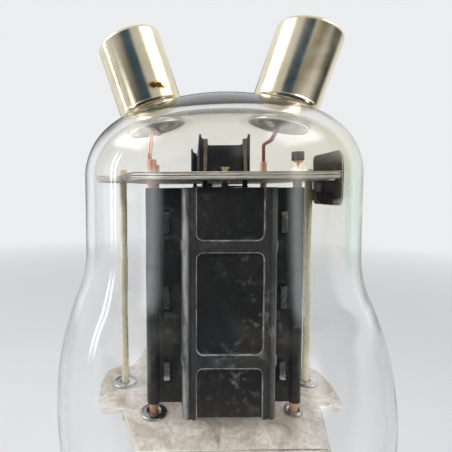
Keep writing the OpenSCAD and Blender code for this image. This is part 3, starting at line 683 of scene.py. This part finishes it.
# worn bare edges, made paler as a painted edge highlight
WORN_HIGHLIT = worn_highlit_edge()
MICA = mica()
COPPER = metal("rod_copper", (0.88, 0.52, 0.4), (0.66, 0.35, 0.25), (0.24, 0.4), bare=0.7)
RED_LEAD = metal("lead_copper_red", (0.52, 0.17, 0.13), (0.3, 0.09, 0.07), (0.3, 0.5), drawn=False)
PINK_LEAD = metal("lead_copper_pink", (0.92, 0.6, 0.53), (0.72, 0.38, 0.33), (0.3, 0.5), drawn=False)
SUPPORT = metal("support_pale_gold", (0.9, 0.83, 0.6), (0.7, 0.61, 0.4), (0.2, 0.34), bare=0.5)
NICKEL = metal("nickel_wire", (0.7, 0.68, 0.64), (0.5, 0.48, 0.44), (0.24, 0.4))
EYELET = metal("eyelet_bright", (0.74, 0.72, 0.68), (0.34, 0.32, 0.3), (0.16, 0.3), drawn=False,
               spots=0.6)
GRID = metal("grid_wire", (0.27, 0.22, 0.165), (0.1, 0.08, 0.058), (0.08, 0.15))
TAB = tab_metal()
CATHODE = metal("cathode_sleeve", (0.82, 0.74, 0.56), (0.62, 0.52, 0.36), (0.24, 0.4))
PIN = metal("tinned_pin", (0.76, 0.74, 0.69), (0.5, 0.46, 0.38), (0.24, 0.42), spots=0.4)
CAP = cap_metal()
PHENOLIC = phenolic()
GETTER = getter_dark()
GREY = metal("collar_grey", (0.24, 0.24, 0.25), (0.11, 0.11, 0.115), (0.4, 0.55))
CEMENT = chalk("basing_cement", (0.66, 0.58, 0.47), (0.42, 0.35, 0.27))
BEAD = chalk("white_cement", (0.9, 0.88, 0.81), (0.68, 0.63, 0.54), 1500.0, 0.12)
OXIDE = chalk("white_oxide", (0.9, 0.9, 0.87), (0.75, 0.74, 0.7), 2500.0, 0.02)


# Glass

BEAD_TOP, STUB_LOW, CUT_PAST = -0.6, -0.9, 1.0


def bulb_line(w, steps=24):
    """Half outline of the bulb, drawn inwards by w."""
    corner_x = DOME_R - CORNER_R
    corner_z = CROWN_C + math.sqrt((CROWN_R - CORNER_R) ** 2 - corner_x ** 2)
    corner_a = math.degrees(math.atan2(corner_z - CROWN_C, corner_x))
    a1 = DOME_R + FLARE_R - BULGE_R
    b1 = FLARE_Z - BULGE_Z
    upper = (a1 * a1 + b1 * b1 - FLARE_R ** 2) / (2 * (FLARE_R - a1))
    join = math.degrees(math.atan2(b1, a1 + upper))
    neck = math.degrees(math.acos((NECK_R - BULGE_R + LOWER_R) / LOWER_R))
    crown_c, crown_r = CROWN_C, CROWN_R
    if w > 0:
        # the inner face of the crown is flatter, so that the glass thickens to the middle
        small = CORNER_R - w
        peak = TOP_MICA + CROWN_RISE - CROWN_WALL
        drop = peak - corner_z
        crown_r = (corner_x ** 2 + drop ** 2 - small ** 2) / (2 * (drop - small))
        crown_c = peak - crown_r
        corner_a = math.degrees(math.atan2(corner_z - crown_c, corner_x))
    line = arc(0, crown_c, crown_r, 90, corner_a, steps)
    line[0] = (0.0, line[0][1])
    line += arc(corner_x, corner_z, CORNER_R - w, corner_a, 0, steps)[1:]
    line += arc(DOME_R + FLARE_R, FLARE_Z, FLARE_R + w, 180, 180 + join, steps)
    line += arc(BULGE_R - upper, BULGE_Z, upper - w, join, 0, steps)[1:]
    line += arc(BULGE_R - LOWER_R, BULGE_Z, LOWER_R - w, 0, -neck, steps)[1:]
    return line + [(NECK_R - w, NECK_END)]


def cap_frame(side):
    """Places a piece on the axis of a cap, whose origin lies on the crown."""
    a = math.radians(CAP_TILT)
    spot = Vector((side * CROWN_R * math.sin(a), 0, CROWN_C + CROWN_R * math.cos(a))) * MM
    turn = Matrix.Rotation(-math.radians(CAP_TURN), 4, "Z")
    return turn @ Matrix.Translation(spot) @ Matrix.Rotation(side * a, 4, "Y")


def seal_bead():
    """Outline of the glass bead under a cap, whose underside is dished."""
    flat, sweep, steps = 0.4, 1.35, 16
    line = [(0.0, BEAD_TOP), (0.0, -SEAL_DEPTH), (SEAL_R * flat, -SEAL_DEPTH)]
    for i in range(1, steps + 1):
        t = i / steps
        line.append((SEAL_R * (flat + (1 - flat) * t), -SEAL_DEPTH + sweep * t * t * (1.6 - 0.6 * t)))
    return line + [(SEAL_R, BEAD_TOP)]


def seal_stub():
    """Outline of the glass stub inside a cap, rounded at its top."""
    round_r = 0.5
    line = [(0.0, STUB_LEN), (0.0, STUB_LOW), (STUB_R, STUB_LOW), (STUB_R, STUB_LEN - round_r)]
    return line + arc(STUB_R - round_r, STUB_LEN - round_r, round_r, 0, 90, 5)[1:]


def oblong(r0, r1, low, top):
    return [(r0, low), (r1, low), (r1, top), (r0, top)]


def make_glass():
    """The bulb, with a bead and a stub at each seal, cut for the skirts and the leads."""
    bulb = turned("bulb_glass", bulb_line(0) + bulb_line(WALL)[::-1], 192, None, GLASS, 50.0)
    groove = oblong(SKIRT_R - SKIRT_T - FIT, SKIRT_R + FIT, -SKIRT_DEPTH - FIT, CUT_PAST)
    hole = oblong(0.0, WIRE_D / 2 + FIT, -SEAL_DEPTH - CUT_PAST, STUB_LEN + CUT_PAST)
    joined = (("bead_", seal_bead(), 96), ("stub_", seal_stub(), 64))
    cut = (("groove_", groove, 96), ("hole_", hole, 24))
    tools = []
    for bodies, kind in ((joined, "UNION"), (cut, "DIFFERENCE")):
        for name, side in SIDES:
            for body, line, steps in bodies:
                tools.append(turned(body + name, line, steps, cap_frame(side)))
                mod = bulb.modifiers.new("seal", "BOOLEAN")
                mod.object = tools[-1]
                mod.operation = kind
                mod.solver = "EXACT"
    bake_modifiers(bulb)
    for tool in tools:
        bpy.data.objects.remove(tool)
    tidy_shell(bulb, 40.0)
    keep(bulb, "bulb")
    dressed("stem", STEM_GLASS, sharp=40.0)
    dressed("exhaust_tube", STEM_GLASS, sharp=40.0)


# Caps


def cap_line():
    """Outline of a cap and its skirt, with a rolled foot, a lip and a rounded crown."""
    r, top, low, inner = CAP_R, CAP_LEN, -SKIRT_DEPTH, SKIRT_R - SKIRT_T
    foot_r, inner_r, lip_r, roll_r, proud = 0.15, 0.06, 0.12, 0.1, 0.05
    line = arc(SKIRT_R - foot_r, low + foot_r, foot_r, -150, 0, 6)
    line += [(SKIRT_R, 0.1)] + arc(SKIRT_R + inner_r, 0.22, inner_r, 180, 90, 3)
    line += arc(r - lip_r, 0.3, lip_r, -90, -10, 6) + [(r + proud, 0.5)]
    line += arc(r + proud - roll_r, 0.62, roll_r, 0, 60, 4) + [(r - 0.02, 0.95)]
    line += arc(r - CAP_ROUND, top - CAP_ROUND, CAP_ROUND, 0, 90, 14)
    line += [(r * 0.5, top), (0.0, top), (0.0, top - CAP_SHEET)]
    line += arc(r - CAP_ROUND, top - CAP_ROUND, CAP_ROUND - CAP_SHEET, 90, 0, 8)
    return line + [(r - CAP_SHEET, 0.75), (inner, 0.5), (inner, low + 0.2)]


def make_caps():
    """The two caps, with small knocks from handling, none of which stands proud."""
    lip, crown_edge, deepest = 0.9, 1.2, 0.22
    for name, side in SIDES:
        place = cap_frame(side)
        bm = bmesh.new()
        lathe_into(bm, cap_line(), 160, place)
        axis = place.to_3x3() @ Vector((0, 0, 1))
        base = place.translation
        for v in bm.verts:
            rel = v.co - base
            along = rel.dot(axis)
            out = rel - axis * along
            if out.length < (CAP_R - crown_edge) * MM or along < lip * MM:
                continue
            dip = max(0.0, noise.noise(v.co * 260 + Vector((side * 3, 0, 0))) - 0.18)
            v.co -= out.normalized() * dip * deepest * MM
        keep(new_object("cap_" + name + "_plate", bm, CAP, 40.0), "cap_" + name)
        dressed("cap_cement_" + name, CEMENT)


# Wires and leads

# a branch is a little thinner and lower than the lead that it leaves
BRANCH_D, BRANCH_DROP = LEAD_D - 0.04, 0.1


def pin_at(i):
    """The middle of a base pin, counted from 1."""
    a = math.radians(-90 + 180 / PINS + (i - 1) * 360 / PINS)
    return PIN_RING * math.cos(a), PIN_RING * math.sin(a)


def lead_path(x, i, upper):
    """A lead from a pin up through the press at x, and on by the points given."""
    px, py = pin_at(i)
    line = [(px, py, LEAD_FOOT), (px, py, LEAD_KNEE), (x, 0, NECK_END + 1), (x, 0, PRESS_TOP + 1)]
    return line + upper


def make_anode_leads():
    """The copper leads, from inside each cap to the frames of the anodes."""
    top, low = CAP_LEN - CAP_SHEET - 0.1, -SEAL_DEPTH - 0.75
    weld_x, weld_y = -ROD_X - 0.36, -ROD_Y + 0.78
    left = [cap_point(-1, top), cap_point(-1, low), (-8.95, -2.6, TOP_MICA + 6.7),
            (-9.05, -5.4, TOP_MICA + 4.4), (weld_x, weld_y, TOP_MICA + 2.4),
            (weld_x, weld_y, TOP_MICA + 0.4)]
    right = [cap_point(1, top), cap_point(1, low), (8.6, 2.4, TOP_MICA + 5.9),
             (ROD_X, ROD_Y, TOP_MICA + 5.9), (ROD_X, ROD_Y, TOP_MICA + 2.9 + SEAT)]
    for name, path, copper in (("left", left, PINK_LEAD), ("right", right, RED_LEAD)):
        wires("anode_lead_" + name, copper, [(path, WIRE_D)], ragged=0.1)


def make_leads():
    """The nickel leads from the press to the heaters, the cathodes, the grids and the supports."""
    beside_heater = HEATER_X + HEATER_D / 2 + LEAD_D / 2 + SEAT
    beside_grid = GRID_X + GRID_D / 2 + LEAD_D / 2 + SEAT
    behind_cathode = ROD_Y - CATHODE_D / 2 - LEAD_D / 2 - SEAT
    for name, side, pin in (("a", -1, 7), ("b", 1, 1)):
        x, turn, end = side * beside_heater, LOW_MICA - 5.4, LOW_MICA - 3.4
        front = lead_path(side * 2.2, pin, [(x, -ROD_Y, turn), (x, -ROD_Y, end)])
        rear = [(side * 2.15, 0.12, PRESS_TOP + 0.8), (x, ROD_Y, turn - BRANCH_DROP),
                (x, ROD_Y, end - BRANCH_DROP)]
        runs = [(front, LEAD_D), (rear, BRANCH_D)]
        wires("lead_heater_" + name, NICKEL, runs)
    y, turn, end = behind_cathode, LOW_MICA - 3.2, LOW_MICA - 1.2
    front = lead_path(0, 4, [(0, 0, LOW_MICA - 4.4), (0, -y, turn), (0, -y, end)])
    rear = [(0.02, -0.1, LOW_MICA - 4.6), (0, y, turn - BRANCH_DROP), (0, y, end - BRANCH_DROP)]
    wires("lead_cathode", NICKEL, [(front, LEAD_D), (rear, BRANCH_D)])
    for name, side, pin, y in (("front", -1, 6, -ROD_Y), ("rear", 1, 2, ROD_Y)):
        x = side * beside_grid
        path = lead_path(side * 4.4, pin, [(x, y, LOW_MICA - 3.4), (x, y, LOW_MICA - 1.4)])
        wires("lead_grid_" + name, NICKEL, [(path, LEAD_D)])
    for name, side in SIDES:
        low_x, x = side * FOOT_X, side * (SUPPORT_X - ROD_D / 2 - FOOT_D / 2 - SEAT)
        path = [(low_x, 0, PRESS_TOP - 5.8), (low_x, 0, PRESS_TOP + 1.2),
                (x, 0, LOW_MICA - 4.4), (x, 0, LOW_MICA - 1.4)]
        wires("support_foot_" + name, NICKEL, [(path, FOOT_D)])


def make_heaters():
    """A folded heater wire in each cathode."""
    low, top = LOW_MICA - 4.6, TOP_MICA - 3
    for name, y in ENDS:
        path = [(-HEATER_X, y, low), (-HEATER_X, y, top - 0.5), (0, y, top),
                (HEATER_X, y, top - 0.5), (HEATER_X, y, low)]
        wires("heater_" + name, OXIDE, [(path, HEATER_D)], sides=10, bend=0.15)


# Grid windings, by Geometry Nodes

WINDING = {
    "Turns": 78.0, "Steps": 36.0, "Half width": (GRID_X + GRID_D / 2 + 0.1) * MM,
    "Half depth": 1.15 * MM, "Low": (LOW_MICA + 2.4) * MM, "High": (TOP_MICA - 1.1) * MM,
    "Wire radius": 0.06 * MM,
}


def winding_tree():
    """A helix round an oval form, as wire with a round section."""
    tree = bpy.data.node_groups.new("grid_winding", "GeometryNodeTree")
    face = tree.interface
    face.new_socket("Geometry", in_out="OUTPUT", socket_type="NodeSocketGeometry")
    for name, value in WINDING.items():
        face.new_socket(name, in_out="INPUT", socket_type="NodeSocketFloat").default_value = value
    face.new_socket("Wire metal", in_out="INPUT", socket_type="NodeSocketMaterial")
    s = Nodes(tree, "GeometryNodeInputIndex", 0)
    given = s.node("NodeGroupInput").outputs
    total = s.times(given["Turns"], given["Steps"])
    line = s.node("GeometryNodeMeshLine", Count=s.maths("ADD", total, 1.0))
    angle = s.times(s.maths("DIVIDE", s.coords, given["Steps"]), 2 * math.pi)
    climb = s.times(s.maths("DIVIDE", s.coords, total),
                    s.maths("SUBTRACT", given["High"], given["Low"]))
    place = s.node("ShaderNodeCombineXYZ", X=s.times(s.maths("COSINE", angle), given["Half width"]),
                   Y=s.times(s.maths("SINE", angle), given["Half depth"]),
                   Z=s.maths("ADD", given["Low"], climb))
    moved = s.node("GeometryNodeSetPosition", Geometry=line.outputs[0], Position=place.outputs[0])
    curve = s.node("GeometryNodeMeshToCurve", Mesh=moved.outputs[0])
    circle = s.node("GeometryNodeCurvePrimitiveCircle", Resolution=8, Radius=given["Wire radius"])
    swept = s.node("GeometryNodeCurveToMesh", Curve=curve.outputs[0], Fill_Caps=True,
                   Profile_Curve=circle.outputs["Curve"])
    real = s.node("GeometryNodeRealizeInstances", Geometry=swept.outputs[0])
    paint = s.node("GeometryNodeSetMaterial", Geometry=real.outputs[0], Material=given["Wire metal"])
    s.link(paint.outputs[0], s.node("NodeGroupOutput").inputs[0])
    return tree


def from_tree(name, tree, values):
    """Runs a Geometry Nodes tree with named values and returns its result as a plain mesh."""
    obj = bpy.data.objects.new(name, bpy.data.meshes.new(name))
    bpy.context.scene.collection.objects.link(obj)
    mod = obj.modifiers.new("make", "NODES")
    mod.node_group = tree
    ids = {i.name: i.identifier for i in tree.interface.items_tree if i.in_out == "INPUT"}
    for key, value in values.items():
        mod[ids[key]] = value
    bake_modifiers(obj)
    obj.data.polygons.foreach_set("use_smooth", [True] * len(obj.data.polygons))
    return obj


def make_grids():
    """Each triode's grid and its fin, with the coated cathode inside."""
    tree = winding_tree()
    for name, y in ENDS:
        obj = from_tree("grid_winding_" + name + "_wire", tree, {**WINDING, "Wire metal": GRID})
        obj.data.transform(Matrix.Translation((0, y * MM, 0)))
        keep(obj, "grid_winding_" + name)
        dressed("grid_rods_" + name, GRID, sharp=65.0)
        dressed("grid_fin_" + name, FIN, bevel=0.05)
        dressed("cathode_" + name, CATHODE, bevel=0.03)
        dressed("coating_" + name, OXIDE)


# Spacers, rods, anodes and the small parts

RIM_STEP, HOLE_NEAR, SPLIT, DEEPEST_BITE = 0.6, 0.02, 0.011, 0.45
TAB_Y, TAB_X0, TAB_X1 = ROD_Y + 0.262, 6.0, 7.9


def spacer_wall(node):
    """The upright wall of a spacer, round its rim and its holes, with a finely split rim."""
    bm = merged(node)
    bm.normal_update()
    flat = [f for f in bm.faces if abs(f.normal.z) > 0.5]
    bmesh.ops.delete(bm, geom=flat, context="FACES_ONLY")
    bmesh.ops.delete(bm, geom=[e for e in bm.edges if not e.link_faces], context="EDGES")

    def too_long(edges):
        return [e for e in edges if e.is_boundary and e.calc_length() > RIM_STEP * MM]
    split = too_long(bm.edges)
    while split:
        done = bmesh.ops.subdivide_edges(bm, edges=split, cuts=1)
        split = too_long(g for g in done["geom_split"] if isinstance(g, bmesh.types.BMEdge))
    return bm


def rim_of(bm, spots):
    """The wall's vertices that lie on no hole."""
    def on_hole(v):
        return any(abs((v.co.to_2d() - p).length - r) < HOLE_NEAR * MM for p, r in spots)
    return {v for v in bm.verts if not on_hole(v)}


def make_spacer(node, hole_r, leaves, seed):
    """A mica spacer of thin leaves, whose rims are split and ragged."""
    rng = random.Random(seed)
    low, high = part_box(node)
    middle = (low.z + high.z) / 2
    spots = [(-SUPPORT_X, 0.0, hole_r), (SUPPORT_X, 0.0, hole_r)]
    for y in (-ROD_Y, ROD_Y):
        spots += [(-ROD_X, y, hole_r), (ROD_X, y, hole_r), (0.0, y, CATHODE_D / 2 + FIT)]
        spots += [(-GRID_X, y, GRID_D / 2 + FIT), (GRID_X, y, GRID_D / 2 + FIT)]
    spots = [(Vector((x, y)) * MM, r * MM) for x, y, r in spots]
    cuts = [(i + rng.uniform(-0.18, 0.18) * (0 < i < leaves)) / leaves for i in range(leaves + 1)]
    whole = bmesh.new()
    for k in range(leaves):
        bm = spacer_wall(node)
        rim = rim_of(bm, spots)
        shrink = 0.0 if k == leaves // 2 else rng.uniform(0.02, 0.26)
        drift = Vector((rng.uniform(-9, 9), rng.uniform(-9, 9), k * 3.7))
        for v in bm.verts:
            top = v.co.z > middle
            part = cuts[k + 1] if top else cuts[k]
            inner = 0 < part < 1
            flat = Vector((v.co.x, v.co.y, 0))
            z = low.z + (high.z - low.z) * part - (SPLIT if top else -SPLIT) * MM * inner
            if v in rim:
                chip = noise.noise(flat * 520 + drift) + 0.6 * noise.noise(flat * 1900 + drift)
                bite = max(0.0, noise.noise(flat * 210 - drift) - 0.28) * 0.9
                back = min(shrink + max(0.0, 0.16 * chip) + bite, DEEPEST_BITE) * MM
                v.co -= flat.normalized() * back
                z += 0.05 * MM * noise.noise(flat * 340 + drift) * inner
            v.co.z = z
        middle_z = low.z + (high.z - low.z) * (cuts[k] + cuts[k + 1]) / 2
        open_edges = [e for e in bm.edges if e.is_boundary]
        for above in (True, False):
            ring = [e for e in open_edges if (e.verts[0].co.z > middle_z) == above]
            bmesh.ops.triangle_fill(bm, edges=ring, use_beauty=True, normal=(0, 0, 1))
        bmesh.ops.recalc_face_normals(bm, faces=bm.faces)
        leaf = bpy.data.meshes.new("leaf")
        bm.to_mesh(leaf)
        bm.free()
        whole.from_mesh(leaf)
        bpy.data.meshes.remove(leaf)
    keep(new_object(node + "_leaves", whole, MICA, 30.0), node)


def brighten_tabs(piece):
    """Gives the tabs that are folded over the flanges their bare bright metal."""
    mesh = piece.data
    mesh.materials.append(TAB)
    for face in mesh.polygons:
        x, y = abs(face.center.x) / MM, abs(face.center.y) / MM
        if y > TAB_Y and TAB_X0 < x < TAB_X1:
            face.material_index = len(mesh.materials) - 1


def make_frame_parts():
    """The spacers, rods, anodes and supports, and the getter with its strap."""
    make_spacer("mica_top", ROD_D / 2 + FIT, 6, 11)
    make_spacer("mica_lower", ROD_D / 2 + EYELET_T + 2 * FIT, 5, 12)
    for a, _ in ENDS:
        for b, _ in SIDES:
            dressed(f"rod_{a}_{b}", COPPER, bevel=0.12, segments=3)
            dressed(f"eyelet_{a}_{b}", EYELET, sharp=50.0)
        for b in ("outer", "inner"):
            piece = dressed(f"anode_{a}_{b}", ANODE, 0.08, sharp=38.0, worn_highlit=WORN_HIGHLIT)
            if b == "inner":
                brighten_tabs(piece)
    for b, _ in SIDES:
        dressed("support_" + b, SUPPORT, bevel=0.12, segments=3)
        dressed("eyelet_support_" + b, EYELET, sharp=50.0)
    dressed("getter_plate", GETTER, bevel=0.06, worn_highlit=SUPPORT)
    dressed("getter_strap", NICKEL, bevel=0.03)
    dressed("rod_collar", GREY, bevel=0.08)


def make_bead():
    """A rough dab of white cement round the front right rod."""
    low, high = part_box("cement_bead")
    bm = bmesh.new()
    bmesh.ops.create_icosphere(bm, subdivisions=5, radius=1.0)
    half = (high - low) / 2
    middle = Vector(((low.x + high.x) / 2, (low.y + high.y) / 2, low.z))
    for v in bm.verts:
        n = noise.fractal(v.co * 2.6 + Vector((4.0, 1.0, 2.0)), 0.8, 2.1, 4)
        spikes = max(0.0, noise.noise(v.co * 5.0)) * 0.35
        r = min(0.97, 0.78 + 0.17 * n + spikes * 0.5)
        z = max(0.0, v.co.z) ** 1.6 * (high.z - low.z + 0.6 * MM) * r
        v.co = middle + Vector((v.co.x * half.x * r, v.co.y * half.y * r, z))
    bmesh.ops.remove_doubles(bm, verts=bm.verts, dist=2 * JOIN)
    keep(new_object("cement_bead_dab", bm, BEAD, 60.0), "cement_bead")


# Base


def make_base():
    """The moulded shell with its stepped foot, the cement in its mouth, and the pins."""
    r, wall, low = BASE_R, BASE_WALL, PIN_LEN
    top, foot = low + BASE_H, r - 0.9
    foot_r, hollow_r, step_r, rim_r, mouth_r = 0.6, 0.4, 0.5, 0.6, 0.4
    line = [(0.0, low), (foot - 1.3, low)] + arc(foot - foot_r, low + foot_r, foot_r, -90, 0, 6)
    line += [(foot, low + 2.8)] + arc(foot + hollow_r, low + 2.9, hollow_r, 180, 120, 4)
    line += arc(r - step_r, low + 4.0, step_r, -60, 0, 4)
    line += [(r, top - rim_r)] + arc(r - rim_r, top - rim_r, rim_r, 0, 90, 6)
    line += arc(r - wall + mouth_r, top - mouth_r, mouth_r, 90, 180, 4)
    line += [(r - wall, low + BASE_FLOOR), (0.0, low + BASE_FLOOR)]
    shell = turned("base_shell_moulding", line, 160, None, PHENOLIC)
    keep(shell, "base_shell")
    dressed("base_cement", CEMENT)
    for i in range(1, PINS + 1):
        dressed(f"pin_{i}", PIN, sharp=50.0)


# Stage, lamps and camera

PALE = (0.84, 0.85, 0.865)
DIM = (0.05, 0.055, 0.062)
WINDOW = (2.9, 2.95, 3.0)
DUSK = (0.2, 0.205, 0.21)
BLUE = (0.04, 0.075, 0.125)
TAN = (0.2, 0.17, 0.13)


def bearing(s):
    """Degrees round the valve from the camera's side, towards the right cap."""
    turn = s.maths("ARCTAN2", s.axis("X"), s.times(s.axis("Y"), -1.0))
    return s.times(turn, 180 / math.pi)


def windows(s, turn):
    """Two upright windows that the glass mirrors on either side of the anodes."""
    return s.larger(s.within(turn, -66, -54, 5), s.within(turn, 49, 57, 4))


def behind(s, turn):
    """One straight behind the valve, where the rear anode mirrors a dim wall."""
    return s.span(s.unsigned(turn), 150, 160)


def rays(s):
    """Whether a ray shows the surroundings, and whether it was mirrored on its way."""
    path = s.node("ShaderNodeLightPath").outputs
    seen = s.larger(path["Is Camera Ray"], path["Is Glossy Ray"])
    seen = s.larger(seen, path["Is Transmission Ray"])
    return seen, s.maths("GREATER_THAN", path["Glossy Depth"], 0.5)


def make_stage():
    """A pale floor that runs out into the pale surroundings."""
    s = Shade("pale_floor")
    s.set(Base_Color=(0.82, 0.82, 0.825), Roughness=0.7, Specular_IOR_Level=0.15)
    distance, turn = s.away((0, 0, 0)), bearing(s)
    seen, mirrored = rays(s)
    front = s.times(mirrored, s.reach(s.axis("Y"), -20, -90))
    back = s.times(mirrored, s.times(s.reach(s.axis("Y"), 300, 450), behind(s, turn)))
    bright = s.times(windows(s, turn), s.reach(distance, 342, 450))
    view = s.blend(front, PALE, s.blend(bright, DIM, WINDOW))
    glow = s.node("ShaderNodeEmission", Color=s.blend(back, view, DUSK))
    shown = s.larger(s.reach(distance, 198, 630), s.larger(front, back))
    s.mix(s.times(shown, seen), s.surface.outputs[0], glow.outputs[0], s.out)
    bm = bmesh.new()
    bmesh.ops.create_grid(bm, x_segments=1, y_segments=1, size=8.0)
    new_object("floor", bm, s.mat)


def lamp(name, spot, aim, size, power, colour=(1.0, 1.0, 1.0), mirrored=True, fan=180):
    """A soft-edged rectangular lamp, placed and aimed in millimetres; fan is its spread."""
    data = bpy.data.lights.new(name, "AREA")
    data.shape = "RECTANGLE"
    data.size = size[0] * MM
    data.size_y = size[1] * MM
    data.energy = power
    data.spread = math.radians(fan)
    data.color = colour
    data.use_nodes = True
    s = Nodes(data.node_tree, "ShaderNodeNewGeometry", "Parametric")
    # the factor makes up for what the soft edges take away
    strength = 1.78
    for axis in ("X", "Y"):
        for edge, full in ((0.0, 0.25), (1.0, 0.75)):
            strength = s.times(s.span(s.axis(axis), edge, full, soft=True), strength)
    glow = s.node("ShaderNodeEmission", Strength=strength)
    s.node("ShaderNodeOutputLight", Surface=glow.outputs[0])
    obj = bpy.data.objects.new(name, data)
    bpy.context.scene.collection.objects.link(obj)
    place = Vector(spot) * MM
    turn = (Vector(aim) * MM - place).to_track_quat("-Z", "Y").to_matrix().to_4x4()
    obj.matrix_world = Matrix.Translation(place) @ turn
    obj.visible_glossy = mirrored
    obj.visible_transmission = mirrored


def make_world():
    """Pale surroundings; mirrors show a dim room with two windows and a dark blue band."""
    world = bpy.data.worlds.new("studio")
    world.use_nodes = True
    bpy.context.scene.world = world
    s = Nodes(world.node_tree, output="Generated")
    turn = bearing(s)
    height = s.axis("Z")
    facing = s.span(s.axis("Y"), 0.25, -0.6, 0.0, 0.75)
    view = s.blend(facing, PALE, (0.5, 0.5, 0.49))
    low_wall = s.times(s.within(turn, -44, 44, 9), s.span(height, 0.36, 0.46, 1.0, 0.0))
    view = s.blend(low_wall, view, TAN)
    band = s.times(s.within(turn, -33, 4, 4), s.span(height, 0.55, 0.8, 1.0, 0.0))
    view = s.blend(band, view, BLUE)
    thin = s.larger(s.within(turn, -93, -89.5, 1.2), s.within(turn, 70.5, 74, 1.2))
    thin = s.times(thin, s.span(height, 0.2, 0.34, 0.8, 0.0))
    view = s.blend(thin, view, BLUE)
    below = s.span(height, 0.16, 0.32, 1.0, 0.0)
    view = s.blend(s.times(below, s.within(turn, -72, 104, 9)), view, DIM)
    low_back = s.times(behind(s, turn), s.span(height, 0.36, 0.46, 1.0, 0.0))
    view = s.blend(low_back, view, DUSK)
    bright = s.times(windows(s, turn), s.within(height, -0.24, 0.14, 0.07))
    view = s.blend(bright, view, WINDOW)
    seen, mirrored = rays(s)
    view = s.blend(mirrored, PALE, view)
    glow = s.node("ShaderNodeBackground", Color=view, Strength=s.span(seen, 0.0, 1.0, 0.4, 1.0))
    s.node("ShaderNodeOutputWorld", Surface=glow.outputs[0])


def make_lamps():
    """Two broad lamps at the sides, weaker ones in front and above, and a strip on the left."""
    lamp("soft_left", (-368, 52, 435), (0, 0, 95), (430, 280), 0.68)
    lamp("soft_right", (342, -111, 447), (0, 0, 95), (460, 260), 0.58, (0.96, 0.98, 1.0))
    lamp("soft_front", (-120, -430, 330), (0, 0, 90), (300, 240), 0.56, mirrored=False, fan=100)
    lamp("soft_top", (0, 100, 500), (0, 0, 90), (420, 300), 0.2, mirrored=False)
    lamp("strip_left", (-348, 49, 140), (0, 0, 85), (20, 260), 0.06)


def make_camera():
    """The photograph's camera, from a fit to about fifty of its points."""
    focal, cx, cy, frame_px = 345.0, 164.7, 211.06, 452.0
    sensor = 36.0
    eye = Vector((-7.45, -49.19, TOP_MICA - 2.06)) * MM
    pitch, roll, yaw = (math.radians(v) for v in (3.2, 0.26, 0.115))
    data = bpy.data.cameras.new("photo_camera")
    data.sensor_width = sensor
    data.lens = focal / frame_px * sensor
    data.shift_x = 0.5 - cx / frame_px
    data.shift_y = cy / frame_px - 0.5
    data.clip_start = 0.001
    data.clip_end = 20.0
    ahead = Vector((math.sin(yaw) * math.cos(pitch), math.cos(yaw) * math.cos(pitch),
                    -math.sin(pitch)))
    level = Vector((math.cos(yaw), -math.sin(yaw), 0.0))
    down = ahead.cross(level)
    right = level * math.cos(roll) + down * math.sin(roll)
    up = level * math.sin(roll) - down * math.cos(roll)
    turn = Matrix((right, up, -ahead)).transposed().to_4x4()
    obj = bpy.data.objects.new("photo_camera", data)
    bpy.context.scene.collection.objects.link(obj)
    obj.matrix_world = Matrix.Translation(eye) @ turn
    bpy.context.scene.camera = obj


make_camera()
make_stage()
make_world()
make_lamps()
make_glass()
make_caps()
make_anode_leads()
make_leads()
make_heaters()
make_grids()
make_frame_parts()
make_bead()
make_base()

bpy.context.scene.view_settings.view_transform = "Standard"
